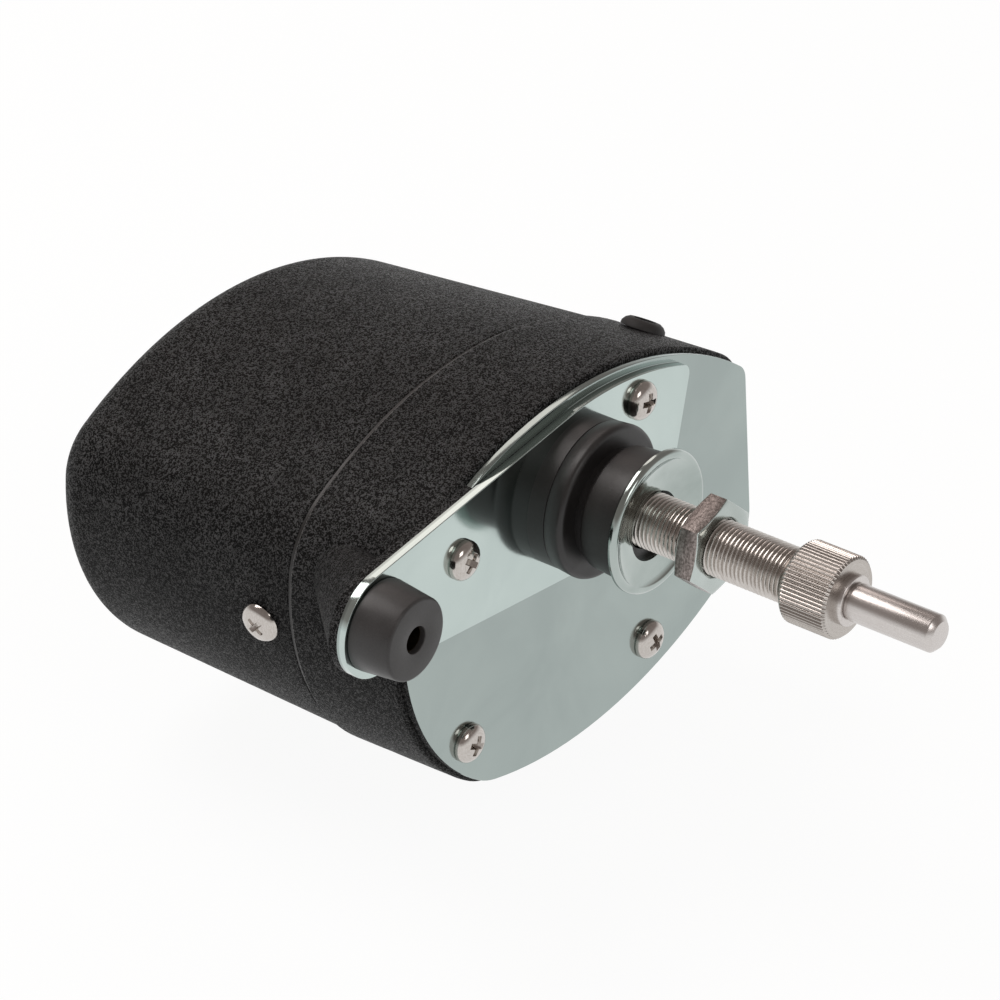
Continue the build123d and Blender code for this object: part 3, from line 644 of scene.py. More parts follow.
@dataclass(frozen=True)
class SheetSteel(Finish):
    """Polished sheet steel that mirrors what stands on it, darker behind one plane."""

    bright: Colour = (0.53, 0.61, 0.585)
    dull: Colour = (0.475, 0.55, 0.53)
    rough_low: float = 0.08
    rough_high: float = 0.15
    # painted shade: behind a plane the sheet's colour is scaled down to this share, so the plate round the
    # raised pad is painted darker than the pad
    painted_shade: float = 0.68
    painted_shade_ahead: float = -0.9
    painted_shade_fade: float = 0.3
    grain_share: float = 0.25

    def make(self) -> Material:
        """Makes the sheet.

        Returns:
            The material.
        """
        material, wiring, shader, place = self.begin()
        shader.inputs["Metallic"].default_value = 1.0
        patches = EFFECTS.smudge.place(wiring, place, scale=45.0)
        grain = EFFECTS.grain.place(wiring, place, scale=2500.0, depth=0.02)
        steel = wiring.mix(patches["Amount"], opaque(self.bright), opaque(self.dull))
        # painted shade: the colour darkens behind a plane a little behind the origin
        behind = wiring.parts(place)[1]
        start, end = -self.painted_shade_ahead * MM, (self.painted_shade_fade - self.painted_shade_ahead) * MM
        light = wiring.spread(behind, start, end, 1.0, self.painted_shade)
        colour = wiring.scaled(steel, light)
        rest = wiring.math("MULTIPLY", patches["Amount"], 1.0 - self.grain_share)
        blend = wiring.math("MULTIPLY_ADD", grain["Grain"], self.grain_share, rest)
        rough = wiring.spread(blend, 0.0, 1.0, self.rough_low, self.rough_high)
        self.feed(shader, colour, rough, grain["Normal"])
        return material


@dataclass(frozen=True)
class Matt(Finish):
    """Rubber, plastic, ferrite, carbon and board: a matt surface with fine grain and soft patches."""

    base: Colour = (0.011, 0.01, 0.01)
    pale: Colour = (0.026, 0.024, 0.023)
    dust_colour: Colour = (0.25, 0.24, 0.22)
    rough_low: float = 0.36
    rough_high: float = 0.52
    grain_scale: float = 3500.0
    grain_depth: float = 0.25
    grain_share: float = 0.4
    patch_share: float = 0.5
    dusty: float = 0.03

    def make(self) -> Material:
        """Makes the surface.

        Returns:
            The material.
        """
        material, wiring, shader, place = self.begin()
        grain = EFFECTS.grain.place(wiring, place, scale=self.grain_scale, depth=self.grain_depth)
        patches = EFFECTS.smudge.place(wiring, place, scale=120.0)
        dust = EFFECTS.dust.place(wiring, place, amount=self.dusty)
        patchy = wiring.math("MULTIPLY", patches["Amount"], self.patch_share)
        share = wiring.math("MULTIPLY_ADD", grain["Grain"], self.grain_share, patchy)
        surface = wiring.mix(share, opaque(self.base), opaque(self.pale))
        colour = wiring.mix(dust["Mask"], surface, opaque(self.dust_colour))
        rough = wiring.spread(patches["Amount"], 0.0, 1.0, self.rough_low, self.rough_high)
        self.feed(shader, colour, rough, grain["Normal"])
        return material


# Sub-assemblies


@dataclass
class Casing:
    """The black gear housing and rear cover, with their rims rounded at the seam."""

    paint: WrinklePaint = WrinklePaint("wrinkle_black")
    # rim paint: smoother and glossier, and a little lighter in colour as a painted highlight along the seam
    worn: WrinklePaint = WrinklePaint(
        "wrinkle_worn_painted_highlight", (0.012, 0.0115, 0.011), (0.12, 0.116, 0.112), depth=0.25, roughness=0.28, sheen=0.5
    )
    rims: Sequence[tuple[str, float]] = (("gear_housing", -24.0), ("rear_cover", -24.8))
    worn_highlight_half: str = "gear_housing"
    rim_round: float = 0.3
    rim_angle: float = 60.0
    rim_near: float = 0.02

    def on_rim(self, edge: Edge, ahead: float) -> bool:
        """Whether a sharp edge lies on the rim at a distance ahead."""
        near = all(abs(vert.co.y / MM + ahead) < self.rim_near for vert in edge.verts)
        return near and edge_angle(edge) > self.rim_angle

    def build(self) -> None:
        """Dresses both halves and rounds their rims at the seam."""
        paints = [self.paint, self.worn]
        for node, rim in self.rims:
            shape = Shape.of_node(node)
            rounded = shape.round_off(lambda edge, ahead=rim: self.on_rim(edge, ahead), self.rim_round)
            # the gear housing's rounded rim takes the rim paint, whose lighter colour is a painted highlight
            if node == self.worn_highlight_half:
                for each in rounded:
                    each.material_index = 1
            shape.finish(node + "_skin", Body.HOUSING, paints, "housing_black", [node], 30.0)


@dataclass
class FacePlate:
    """The polished front plate."""

    # the sheet's painted shade darkens the plate behind the raised pad's front
    steel: SheetSteel = SheetSteel("polished_sheet")
    backing: WrinklePaint = WrinklePaint("lug_black")
    press_round: float = 0.4
    press_angle: float = 60.0
    sheet: float = 1.5
    backing_end: float = -27.55
    level: float = 0.9

    def build(self) -> None:
        """Dresses the plate, rounds its pressed edges and paints the lug's edge behind the lobe."""
        shape = Shape.of_node("front_plate")
        shape.round_off(lambda edge: edge_angle(edge) > self.press_angle, self.press_round, 4)
        bmesh.ops.bisect_plane(
            shape.bm,
            geom=shape.bm.verts[:] + shape.bm.edges[:] + shape.bm.faces[:],
            plane_co=(0.0, self.sheet * MM, 0.0),
            plane_no=(0.0, 1.0, 0.0),
        )
        for each in shape.bm.faces:
            middle = each.calc_center_median() / MM
            upright = abs(each.normal.y) < self.level
            if upright and middle.y > self.sheet and middle.x < self.backing_end:
                each.material_index = 1
        finishes = [self.steel, self.backing]
        shape.finish("face_plate", Body.HOUSING, finishes, "plate_steel", ["front_plate"], 30.0, 20.0)


@dataclass(frozen=True)
class ScrewKind:
    """The sizes of one kind of cross head screw, with its seat at 0 and its dome ahead of it."""

    head_radius: float
    head_height: float
    dome: Sequence[Ring]
    shank_radius: float
    shank_length: float
    cross_reach: float = 2.5
    cross_width: float = 1.35
    cross_depth: float = 1.6
    cross_taper: tuple[float, float, float] = (0.45, 1.0, 0.6)
    lip_angle: float = 50.0
    lip_height: float = 0.3
    lip_round: float = 0.06

    def make(self) -> Shape:
        """Makes a screw that points to the front, with its seat at the origin.

        Returns:
            The closed screw with its cross recess.
        """
        shape = Shape(64)
        rings = (
            (0.0, -self.shank_length),
            (self.shank_radius, -self.shank_length),
            (self.shank_radius, 0.0),
            *((radius * self.head_radius, height * self.head_height) for radius, height in self.dome),
            (0.0, self.head_height),
        )
        shape.turn(rings)
        for turn in (0.0, math.pi / 2):
            wing = self.wing(turn)
            shape.cut(wing)
            wing.bm.free()
        shape.round_off(self.on_lip, self.lip_round, 2)
        return shape

    def on_lip(self, edge: Edge) -> bool:
        """Whether a sharp edge lies in the upper part of the head."""
        low = -self.lip_height * self.head_height * MM
        return edge_angle(edge) > self.lip_angle and all(vert.co.y < low for vert in edge.verts)

    def wing(self, turn: float) -> Shape:
        """Makes the cutter for one wing of the cross recess.

        Args:
            turn: Its turn about the screw's axis in radians.

        Returns:
            The closed cutter, which narrows inwards.
        """
        cutter = Shape()
        made = bmesh.ops.create_cube(cutter.bm, size=1.0)["verts"]
        size = (2 * self.cross_reach * MM, 2 * self.cross_depth * MM, self.cross_width * MM)
        bmesh.ops.scale(cutter.bm, vec=size, verts=made)
        low = [vert for vert in made if vert.co.y > 0.0]
        bmesh.ops.scale(cutter.bm, vec=self.cross_taper, verts=low)
        bmesh.ops.translate(cutter.bm, vec=(0.0, -self.head_height * MM, 0.0), verts=made)
        spin = Matrix.Rotation(turn, 3, "Y")
        bmesh.ops.rotate(cutter.bm, cent=(0.0, 0.0, 0.0), matrix=spin, verts=made)
        return cutter


@dataclass
class Screws:
    """Cross head screws in the plate and in the rear cover."""

    pan: ScrewKind = ScrewKind(
        head_radius=3.4,
        head_height=2.2,
        dome=(
            (0.96, 0.0),
            (1.0, 0.08),
            (1.0, 0.26),
            (0.966, 0.45),
            (0.88, 0.63),
            (0.74, 0.79),
            (0.55, 0.905),
            (0.3, 0.975),
        ),
        shank_radius=1.75,
        shank_length=9.5,
    )
    plate_places: Sequence[tuple[Place, float]] = (
        ((17.2, 8.8), 0.0),
        ((-29.8, 1.5), 0.0),
        ((22.4, -40.7), -1.6),
        ((-26.5, -35.6), -1.6),
    )
    plate_turns: Sequence[float] = (12.0, 38.0, -20.0, 25.0)
    oval: ScrewKind = ScrewKind(
        head_radius=3.6,
        head_height=1.6,
        dome=((0.97, 0.0), (0.99, 0.08), (0.93, 0.42), (0.79, 0.72), (0.56, 0.9), (0.3, 0.98)),
        shank_radius=1.5,
        shank_length=3.6,
        cross_reach=2.4,
        cross_width=1.1,
        cross_depth=1.1,
    )
    cover_ahead: float = -31.0
    cover_places: Sequence[tuple[Place, Place]] = (
        ((-42.67, -15.86), (-0.988, -0.156)),
        ((21.80, -48.68), (0.225, -0.974)),
        ((49.55, -14.83), (0.997, 0.080)),
    )
    cover_turns: Sequence[float] = (35.0, 10.0, 20.0)
    plating: BrightMetal = BrightMetal("bright_nickel", (0.6, 0.57, 0.54), (0.42, 0.38, 0.35), 0.1, 0.22)

    @staticmethod
    def group(kind: ScrewKind, moves: Sequence[Matrix], turns: Sequence[float]) -> Shape:
        """Sets copies of one screw.

        Args:
            kind: The kind of screw.
            moves: Where each one goes.
            turns: How far each one is screwed in, in degrees.

        Returns:
            All of them as one shape.
        """
        screws, one = Shape(), kind.make()
        for move, turn in zip(moves, turns):
            screws.stamp(one, move @ Matrix.Rotation(math.radians(turn), 4, "Y"))
        one.bm.free()
        return screws

    def build(self) -> None:
        """Sets the four screws of the plate and the three of the cover."""
        moves = [Matrix.Translation((x * MM, -seat * MM, z * MM)) for (x, z), seat in self.plate_places]
        plate = self.group(self.pan, moves, self.plate_turns)
        plate.finish("pan_screws", Body.HOUSING, [self.plating], "screw_steel", ["plate_screws"], 28.0)
        moves = [on_wall(place, self.cover_ahead, facing) for place, facing in self.cover_places]
        cover = self.group(self.oval, moves, self.cover_turns)
        cover.finish("oval_screws", Body.HOUSING, [self.plating], "screw_steel", ["cover_screws"], 28.0)


@dataclass
class Gasket:
    """The stepped rubber gasket round the post."""

    bore: float = 5.06
    base_radius: float = 12.9
    front_radius: float = 13.3
    step: float = 3.2
    seam: Sequence[Ring] = ((-0.15, 0.1), (0.05, 0.25))
    base: float = 6.9
    groove_radius: float = 9.4
    groove_front: float = 8.5
    neck_back: float = 10.5
    neck_radius: float = 11.0
    length: float = 14.7
    front_round: float = 1.1
    neck_round: float = 0.7
    rubber: Matt = Matt("moulded_rubber")

    def build(self) -> None:
        """Turns the gasket and rounds its lips."""
        shape = Shape(128)
        rings = (
            (self.bore, 0.0),
            (self.base_radius, 0.0),
            (self.base_radius, self.step),
            *((self.base_radius + out, self.step + rise) for out, rise in self.seam),
            (self.front_radius, self.base),
            (self.groove_radius, self.base),
            (self.groove_radius, self.groove_front),
            (self.neck_back, self.groove_front),
            (self.neck_radius, self.length),
            (self.bore, self.length),
        )
        shape.turn(rings)
        shape.round_ring(self.front_radius, self.base, self.front_round, segments=5)
        shape.round_ring(self.neck_back, self.groove_front, self.neck_round, segments=4)
        shape.finish("stepped_gasket", Body.HOUSING, [self.rubber], "rubber_black", ["post_gasket"], 50.0)


@dataclass
class CupWasher:
    """The dished bright washer with a rolled rim, which hangs a little low on the post."""

    back: float = 14.7
    hole: float = 5.9
    sheet: float = 1.2
    neck: float = 11.0
    radius: float = 12.3
    dish: Sequence[Ring] = ((-0.6, 0.4), (0.0, 1.0))
    rim: float = 1.7
    rim_front: float = 16.9
    curl_end: int = 150
    curl_step: int = 10
    dish_round: float = 0.9
    hole_round: float = 0.25
    hang: float = 0.9
    chrome: SheetSteel = SheetSteel(
        "polished_washer", (0.47, 0.52, 0.5), (0.34, 0.39, 0.37), 0.08, 0.17, painted_shade_ahead=-90.0
    )

    def build(self) -> None:
        """Turns the washer, rolls its rim and hangs its hole."""
        front = self.back + self.sheet
        inner = self.radius - 2 * self.rim
        roll = self.rim / 2
        turns = [math.radians(turn) for turn in range(0, self.curl_end, self.curl_step)]
        middle, height = self.radius - roll, self.rim_front - roll
        shape = Shape(144)
        rings = (
            (self.hole, self.back),
            (self.neck, self.back),
            *((self.radius + out, self.back + rise) for out, rise in self.dish),
            *((middle + roll * math.cos(turn), height + roll * math.sin(turn)) for turn in turns),
            (inner, front),
            (self.hole, front),
        )
        shape.turn(rings)
        shape.round_ring(inner, front, self.dish_round, segments=4)
        shape.round_ring(self.hole, front, self.hole_round, segments=2)
        for vert in shape.bm.verts:
            if reach_of(vert) < self.hole + self.hang:
                vert.co.z -= self.hang * MM
        shape.finish("dished_washer", Body.HOUSING, [self.chrome], "washer_chrome", ["cup_washer"], 40.0)


@dataclass
class MountingPost:
    """The threaded post and its nut."""

    core: float = 4.27
    crest: float = 4.74
    crest_shares: tuple[float, float] = (0.42, 0.58)
    pitch: float = 0.794
    back: float = 13.0
    end: float = 44.1
    bore: float = 3.6
    barrel: float = 4.29
    barrel_end: float = 44.3
    flange_radius: float = 7.0
    flange_back: float = -7.0
    flange_front: float = -6.1
    steps: int = 48
    sunk_edge: float = 0.95
    nut_flats: float = 14.3
    nut_back: float = 25.1
    nut_thickness: float = 4.0
    nut_turn: float = 18.0
    nut_face: float = 7.0
    nut_chamfer: float = 18.0
    nut_steps: int = 144
    nut_bore: float = 4.79
    nut_bore_lead: Ring = (0.5, 0.4)
    nut_shoulder: float = 0.5
    nut_tilt: float = 0.4
    nut_edge_angle: float = 25.0
    nut_round: float = 0.1
    plating: BrightMetal = BrightMetal(
        "nickel_thread", (0.66, 0.63, 0.6), (0.4, 0.36, 0.33), 0.16, 0.3, mark_scale=2500.0
    )
    nut_plating: BrightMetal = BrightMetal(
        "nickel_nut", (0.46, 0.4, 0.38), (0.14, 0.12, 0.11), 0.26, 0.42, grain_scale=2200.0, grain_share=0.9
    )
    nut_bright_with_highlight: SheetSteel = SheetSteel(
        "nut_faces_and_painted_edges", (0.5, 0.55, 0.53), (0.38, 0.42, 0.4), 0.14, 0.26, painted_shade_ahead=-90.0
    )

    def thread(self, shape: Shape) -> None:
        """Winds the thread onto the post.

        Args:
            shape: The shape that takes the thread.
        """
        count = round((self.end - self.back) / self.pitch * self.steps)
        rise, fall = self.crest_shares
        profile = ((self.core, 0.0), (self.crest, rise), (self.crest, fall), (self.core, 1.0))
        verts = [
            shape.bm.verts.new((radius * MM, -(self.back + share * self.pitch) * MM, 0.0))
            for radius, share in profile
        ]
        edges = [shape.bm.edges.new((verts[i - 1], verts[i])) for i in range(1, len(verts))]
        before = set(shape.bm.verts) - set(verts)
        bmesh.ops.spin(
            shape.bm,
            geom=verts + edges,
            cent=(0.0, 0.0, 0.0),
            axis=(0.0, 1.0, 0.0),
            dvec=(0.0, -self.pitch / self.steps * MM, 0.0),
            angle=math.tau * count / self.steps,
            steps=count,
        )
        wound = [vert for vert in shape.bm.verts if vert not in before]
        for vert in wound:
            ahead = -vert.co.y / MM
            run_out = min(1.0, (ahead - self.back) / self.pitch, (self.end - ahead) / self.pitch)
            set_reach(vert, self.core + (reach_of(vert) - self.core) * max(0.0, run_out))
            vert.co.y = -min(ahead, self.end) * MM
        bmesh.ops.remove_doubles(shape.bm, verts=wound, dist=NEAR)
        border = [edge for edge in shape.bm.edges if edge.is_boundary]
        sunk = bmesh.ops.extrude_edge_only(shape.bm, edges=border)["geom"]
        low = [item for item in sunk if isinstance(item, Vert)]
        bmesh.ops.scale(shape.bm, vec=(self.sunk_edge, 1.0, self.sunk_edge), verts=low)

    def build_post(self) -> None:
        """Turns the post and winds its thread."""
        shape = Shape()
        rings = (
            (self.bore, self.flange_back),
            (self.flange_radius, self.flange_back),
            (self.flange_radius, self.flange_front),
            (self.barrel, self.flange_front),
            (self.barrel, self.barrel_end),
            (self.bore, self.barrel_end),
        )
        shape.turn(rings)
        self.thread(shape)
        shape.finish("mounting_post", Body.HOUSING, [self.plating], "post_steel", ["threaded_post"], 50.0)

    def build_nut(self) -> None:
        """Turns the nut with its chamfers, then gives it its six flats."""
        shape = Shape(self.nut_steps)
        back, front = self.nut_back, self.nut_back + self.nut_thickness
        corner = self.nut_flats / 2 / math.cos(math.pi / 6)
        out, deep = self.nut_bore_lead
        rings = (
            (self.nut_bore, back + deep),
            (self.nut_bore + out, back),
            (self.nut_face, back),
            (corner, back + self.nut_shoulder),
            (corner, front - self.nut_shoulder),
            (self.nut_face, front),
            (self.nut_bore + out, front),
            (self.nut_bore, front - deep),
        )
        shape.turn(rings)
        for vert in shape.bm.verts:
            if abs(reach_of(vert) - corner) > TOUCH:
                continue
            turn = math.atan2(vert.co.z, vert.co.x) % (math.pi / 3) - math.pi / 6
            flat = self.nut_flats / 2 / math.cos(turn)
            rise = (flat - self.nut_face) * math.tan(math.radians(self.nut_chamfer))
            set_reach(vert, flat)
            vert.co.y = -(back + rise if -vert.co.y / MM < (back + front) / 2 else front - rise) * MM
        for each in shape.bm.faces:
            each.material_index = int(abs(each.normal.y) > self.nut_tilt)
        # the rounded edges take the bright face plating as a painted highlight along the nut's edges
        for each in shape.round_off(lambda edge: edge_angle(edge) > self.nut_edge_angle, self.nut_round, 2):
            each.material_index = 1
        spin = Matrix.Rotation(-math.radians(self.nut_turn), 3, "Y")
        bmesh.ops.rotate(shape.bm, cent=(0.0, 0.0, 0.0), matrix=spin, verts=shape.bm.verts)
        finishes = [self.nut_plating, self.nut_bright_with_highlight]
        shape.finish("post_nut", Body.HOUSING, finishes, "post_steel", ["hex_nut"], 30.0)

    def build(self) -> None:
        """Builds the post and the nut."""
        self.build_post()
        self.build_nut()


@dataclass
class Driver:
    """The output shaft with its knurled driver and collar."""

    bore: float = 2.91
    radius: float = 7.0
    back: float = 44.7
    front: float = 53.6
    chamfer: float = 0.5
    ribs: int = 60
    steps_per_rib: int = 8
    rib_depth: float = 0.4
    rib_slope: float = 1.15
    collar_radius: float = 4.3
    collar_front: float = 54.9
    collar_round: float = 0.35
    journal: float = 2.9
    shaft_back: float = -9.45
    tip_back: float = 55.4
    tip_radius: float = 3.175
    tip_end: float = 71.0
    tip_chamfer: float = 0.9
    tip_rounds: tuple[float, float] = (0.12, 0.1)
    steel: BrightMetal = BrightMetal(
        "ground_shaft", (0.68, 0.65, 0.63), (0.5, 0.46, 0.44), 0.22, 0.34, marks=Axis.ALONG
    )
    knurl_steel: BrightMetal = BrightMetal("knurled_nickel", (0.56, 0.53, 0.5), (0.38, 0.34, 0.31), 0.2, 0.32)

    def build_driver(self) -> None:
        """Turns the driver, then presses the knurl's grooves in."""
        shape = Shape(self.ribs * self.steps_per_rib)
        rings = (
            (self.bore, self.back),
            (self.radius - self.chamfer, self.back),
            (self.radius, self.back + self.chamfer),
            (self.radius, self.front - self.chamfer),
            (self.radius - self.chamfer, self.front),
            (self.bore, self.front),
        )
        shape.turn(rings)
        floor = self.radius - self.rib_depth
        for vert in shape.bm.verts:
            reach = reach_of(vert)
            if reach < floor:
                continue
            share = math.atan2(vert.co.z, vert.co.x) * self.ribs / math.tau % 1.0
            ridge = min(1.0, (1.0 - abs(2.0 * share - 1.0)) * self.rib_slope)
            set_reach(vert, min(reach, self.radius - self.rib_depth * (1.0 - ridge)))
        steel = [self.knurl_steel]
        shape.finish("arm_driver", Body.WIPER_SHAFT, steel, "shaft_steel", ["knurled_driver"], 24.0)

    def build_shaft(self) -> None:
        """Turns the shaft and the collar."""
        steel = [self.steel]
        shoulder, face = self.tip_end - self.tip_chamfer, self.tip_radius - self.tip_chamfer
        shape = Shape()
        rings = (
            (0.0, self.shaft_back),
            (self.journal, self.shaft_back),
            (self.journal, self.tip_back),
            (self.tip_radius, self.tip_back),
            (self.tip_radius, shoulder),
            (face, self.tip_end),
            (0.0, self.tip_end),
        )
        shape.turn(rings)
        shape.round_ring(self.tip_radius, shoulder, self.tip_rounds[0], segments=2)
        shape.round_ring(face, self.tip_end, self.tip_rounds[1], segments=2)
        shape.finish("drive_shaft", Body.WIPER_SHAFT, steel, "shaft_steel", ["output_shaft"], 30.0)
        collar = Shape()
        rings = (
            (self.journal, self.front),
            (self.collar_radius, self.front),
            (self.collar_radius, self.collar_front),
            (self.journal, self.collar_front),
        )
        collar.turn(rings)
        collar.round_ring(self.collar_radius, self.collar_front, self.collar_round)
        collar.finish("shaft_collar", Body.WIPER_SHAFT, steel, "shaft_steel", ["driver_collar"], 40.0)

    def build(self) -> None:
        """Builds the driver, shaft and collar."""
        self.build_driver()
        self.build_shaft()


@dataclass
class Bumper:
    """The rubber bumper on the lobe."""

    place: Place = (-51.0, 0.2)
    radius: float = 7.8
    front_radius: float = 7.0
    height: float = 7.6
    hole: float = 2.3
    insert: float = 3.61
    lip: float = 1.0
    front_round: float = 0.5
    back_round: float = 0.4
    hole_round: float = 0.2
    rubber: Matt = Matt("bumper_rubber", base=(0.026, 0.025, 0.025), pale=(0.055, 0.052, 0.052))

    def build(self) -> None:
        """Turns the bumper and rounds its edges."""
        shape = Shape()
        rings = (
            (self.hole, self.height - self.lip),
            (self.insert, self.height - self.lip),
            (self.insert, 0.0),
            (self.radius, 0.0),
            (self.front_radius, self.height),
            (self.hole, self.height),
        )
        shape.turn(rings, self.place)
        shape.round_ring(self.front_radius, self.height, self.front_round, self.place, 5)
        shape.round_ring(self.radius, 0.0, self.back_round, self.place)
        shape.round_ring(self.hole, self.height, self.hole_round, self.place)
        shape.finish("lobe_bumper", Body.HOUSING, [self.rubber], "rubber_black", ["mounting_bumper"], 50.0)


@dataclass
class Grommet:
    """The rubber cable outlet at the top far edge of the gear housing."""

    place: Place = (38.99, 6.7)
    ahead: float = -15.5
    facing: Place = (0.5, 0.866)
    bore: float = 2.0
    neck: float = 3.0
    sunk: float = 2.2
    flange: float = 3.9
    rise: float = 1.5
    dome: Sequence[Ring] = ((0.1, 0.35), (0.55, 0.75), (1.2, 1.0))
    rubber: Matt = Matt("outlet_rubber", rough_low=0.6, rough_high=0.75)

    def build(self) -> None:
        """Turns the outlet and sets it in the wall."""
        shape = Shape(64)
        rings = (
            (self.bore, -self.sunk),
            (self.neck, -self.sunk),
            (self.neck, 0.0),
            (self.flange, 0.0),
            *((self.flange - inset, self.rise * share) for inset, share in self.dome),
            (self.bore, self.rise),
        )
        shape.turn(rings)
        move = on_wall(self.place, self.ahead, self.facing)
        bmesh.ops.transform(shape.bm, matrix=move, verts=shape.bm.verts)
        shape.finish("cable_outlet", Body.HOUSING, [self.rubber], "rubber_black", ["cable_grommet"], 50.0)


@dataclass
class InnerParts:
    """Finishes for the pieces that keep their CAD meshes."""

    finishes: Sequence[tuple[Finish, Sequence[str]]] = (
        (
            BrightMetal("zinc_plating", (0.6, 0.62, 0.63), (0.45, 0.47, 0.5), 0.25, 0.45),
            ("bulkhead_plate", "motor_yoke", "connecting_link", "rocker_lever"),
        ),
        (
            BrightMetal("bright_turned_steel", rough_low=0.15, rough_high=0.3),
            ("armature_shaft", "gear_studs", "crank_pin", "rocker_pin", "bulkhead_screws"),
        ),
        (
            BrightMetal("sintered_steel", (0.42, 0.42, 0.43), (0.3, 0.3, 0.31), 0.35, 0.55),
            ("crank_gear", "idler_pinion"),
        ),
        (
            BrightMetal("sintered_bronze", (0.6, 0.42, 0.22), (0.4, 0.26, 0.13), 0.3, 0.5),
            ("post_bushes", "motor_bushes", "motor_pinion"),
        ),
        (BrightMetal("dark_brass", (0.09, 0.07, 0.045), (0.05, 0.04, 0.028), 0.35, 0.55), ("bumper_insert",)),
        (
            BrightMetal("copper", (0.8, 0.42, 0.25), (0.55, 0.26, 0.14), 0.25, 0.45),
            ("windings", "commutator", "park_ring", "park_strips", "brush_springs"),
        ),
        (
            BrightMetal(
                "core_laminations", (0.3, 0.3, 0.32), (0.16, 0.16, 0.17), 0.4, 0.6, mark_scale=2000.0
            ),
            ("armature_core",),
        ),
        (Matt("white_nylon", (0.78, 0.76, 0.68), (0.86, 0.84, 0.78), dusty=0.0), ("idler_wheel",)),
        (Matt("ferrite", (0.06, 0.06, 0.062), (0.11, 0.11, 0.115), dusty=0.0), ("magnets",)),
        (Matt("carbon", (0.03, 0.03, 0.032), (0.07, 0.07, 0.075), dusty=0.0), ("brushes",)),
        (
            Matt("phenolic_board", (0.22, 0.1, 0.05), (0.33, 0.17, 0.08), dusty=0.0),
            ("brush_holder", "park_block"),
        ),
        (Matt("seal_rubber"), ("housing_seal", "shaft_seal")),
    )

    def build(self) -> None:
        """Gives each piece its material."""
        for finish, nodes in self.finishes:
            for node in nodes:
                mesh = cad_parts[node].data
                mesh.materials.clear()
                mesh.materials.append(finish.made())
                LOG.info("%s: %s", node, finish.name)


# Studio


@dataclass(frozen=True)
class SoftBox:
    """A square lamp that faces the object. Distance and size are metres, the power is watts."""

    name: str
    direction: tuple[float, float, float]
    distance: float
    size: float
    power: float
    colour: Colour

    def hang(self) -> None:
        """Hangs the lamp in its direction from the object."""
        lamp = bpy.data.lights.new(self.name, "AREA")
        lamp.shape = "SQUARE"
        lamp.size = self.size
        lamp.energy = self.power
        lamp.color = self.colour
        out = Vector(self.direction).normalized()
        holder = bpy.data.objects.new(self.name, lamp)
        holder.location = out * self.distance
        holder.rotation_mode = "QUATERNION"
        holder.rotation_quaternion = out.to_track_quat("Z", "Y")
        bpy.context.scene.collection.objects.link(holder)


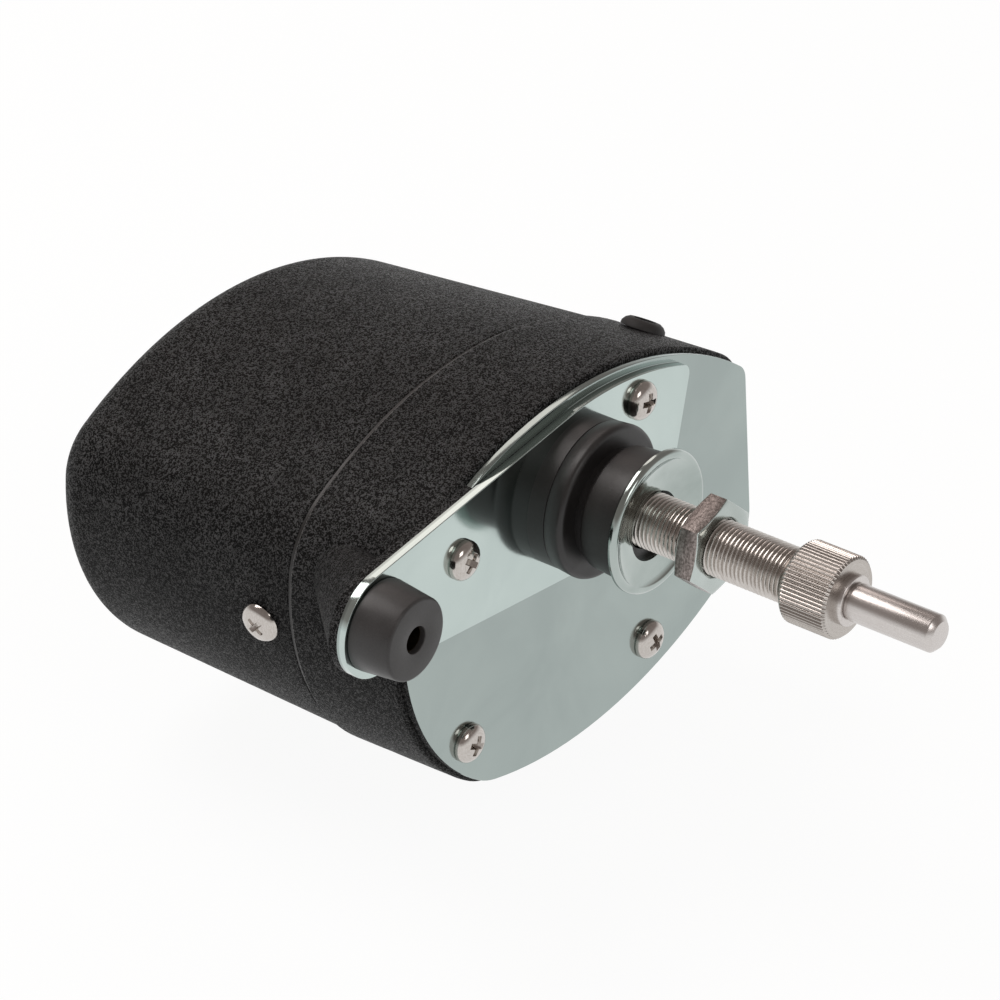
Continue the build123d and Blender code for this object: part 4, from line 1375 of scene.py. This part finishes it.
@dataclass
class Studio:
    """Floor, soft lights and the camera of the photograph."""

    floor_height: float = -62.0
    floor_size: float = 8.0
    floor_colour: Colour = (0.5, 0.51, 0.5)
    floor_roughness: float = 0.9
    floor_glow: float = 1.14
    floor_glow_share: float = 0.82
    sky: Sequence[tuple[float, Colour]] = (
        (0.0, (0.95, 0.97, 0.97)),
        (0.1, (0.8, 0.78, 0.77)),
        (0.32, (0.33, 0.295, 0.28)),
        (1.0, (0.27, 0.24, 0.225)),
    )
    sky_strength: float = 0.9
    boxes: Sequence[SoftBox] = (
        SoftBox("key_box", (-0.14, 0.52, 0.85), 0.75, 0.4, 2.0, (1.0, 0.95, 0.93)),
        SoftBox("front_box", (-0.25, -0.85, 0.7), 1.2, 0.5, 2.0, (1.0, 0.98, 0.97)),
        SoftBox("far_box", (0.5, 0.52, 0.69), 1.1, 0.42, 0.75, (1.0, 0.88, 0.84)),
    )
    sight_azimuth: float = -52.34
    sight_elevation: float = 31.6
    lens: float = 216.0
    sensor: float = 36.0
    clip: tuple[float, float] = (0.05, 50.0)
    aim_ahead: float = 16.49
    aim_right: float = 25.24
    aim_down: float = 3.59
    distance: float = 959.45

    def build_floor(self) -> None:
        """Lays a floor that glows white to the camera and in mirrors, and is grey to other light."""
        bm = bmesh.new()
        bmesh.ops.create_grid(bm, x_segments=1, y_segments=1, size=self.floor_size)
        bmesh.ops.translate(bm, vec=(0.0, 0.0, self.floor_height * MM), verts=bm.verts)
        mesh = bpy.data.meshes.new("floor")
        bm.to_mesh(mesh)
        bm.free()
        material = bpy.data.materials.new("pale_floor")
        material.use_nodes = True
        wiring = Wiring(material.node_tree)
        shader = material.node_tree.nodes["Principled BSDF"]
        shader.inputs["Base Color"].default_value = opaque(self.floor_colour)
        shader.inputs["Roughness"].default_value = self.floor_roughness
        path = wiring.add("ShaderNodeLightPath").outputs
        mirrored = wiring.math("MAXIMUM", path["Is Glossy Ray"], path["Is Transmission Ray"])
        seen = wiring.math("MAXIMUM", path["Is Camera Ray"], mirrored)
        share = wiring.math("MULTIPLY", seen, self.floor_glow_share)
        glow = {"Color": opaque((1.0, 1.0, 1.0)), "Strength": self.floor_glow}
        white = wiring.add("ShaderNodeEmission", glow).outputs[0]
        mix = wiring.add("ShaderNodeMixShader", {0: share, 1: shader.outputs[0], 2: white})
        output = next(node for node in material.node_tree.nodes if node.type == "OUTPUT_MATERIAL")
        wiring.tree.links.new(mix.outputs[0], output.inputs["Surface"])
        mesh.materials.append(material)
        floor = bpy.data.objects.new("floor", mesh)
        bpy.context.scene.collection.objects.link(floor)

    def build_world(self) -> None:
        """Makes a dome that is white at the horizon and a warm grey overhead."""
        world = bpy.data.worlds.new("studio")
        bpy.context.scene.world = world
        world.use_nodes = True
        wiring = Wiring(world.node_tree)
        height = wiring.parts(wiring.add("ShaderNodeTexCoord").outputs["Generated"])[2]
        ramp = wiring.add("ShaderNodeValToRGB", {0: height})
        elements = ramp.color_ramp.elements
        while len(elements) < len(self.sky):
            elements.new(0.5)
        for element, (spot, colour) in zip(elements, self.sky):
            element.position = spot
            element.color = opaque(colour)
        background = world.node_tree.nodes["Background"]
        wiring.tree.links.new(ramp.outputs[0], background.inputs["Color"])
        background.inputs["Strength"].default_value = self.sky_strength

    def build_camera(self) -> None:
        """Sets the camera at the photograph's viewing angle."""
        azimuth, elevation = math.radians(self.sight_azimuth), math.radians(self.sight_elevation)
        level = math.cos(elevation)
        back = Vector((math.sin(azimuth) * level, -math.cos(azimuth) * level, math.sin(elevation)))
        right = Vector((math.cos(azimuth), math.sin(azimuth), 0.0))
        up = back.cross(right)
        aim = Vector((0.0, -self.aim_ahead, 0.0))
        spot = aim - right * self.aim_right + up * self.aim_down + back * self.distance
        data = bpy.data.cameras.new("photo_camera")
        data.lens = self.lens
        data.sensor_width = self.sensor
        data.clip_start, data.clip_end = self.clip
        camera = bpy.data.objects.new("photo_camera", data)
        camera.location = spot * MM
        camera.rotation_mode = "QUATERNION"
        camera.rotation_quaternion = back.to_track_quat("Z", "Y")
        bpy.context.scene.collection.objects.link(camera)
        bpy.context.scene.camera = camera

    def build(self) -> None:
        """Builds the studio."""
        bpy.context.scene.view_settings.view_transform = "Standard"
        self.build_floor()
        self.build_world()
        for box in self.boxes:
            box.hang()
        self.build_camera()


ASSEMBLIES = (
    Casing, FacePlate, Screws, Gasket, CupWasher, MountingPost, Driver, Bumper, Grommet, InnerParts, Studio
)


def main() -> None:
    """Builds everything in order."""
    logging.basicConfig(level=logging.INFO, format="%(message)s")
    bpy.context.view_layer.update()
    for assembly in ASSEMBLIES:
        assembly().build()


if __name__ == "__main__":
    main()
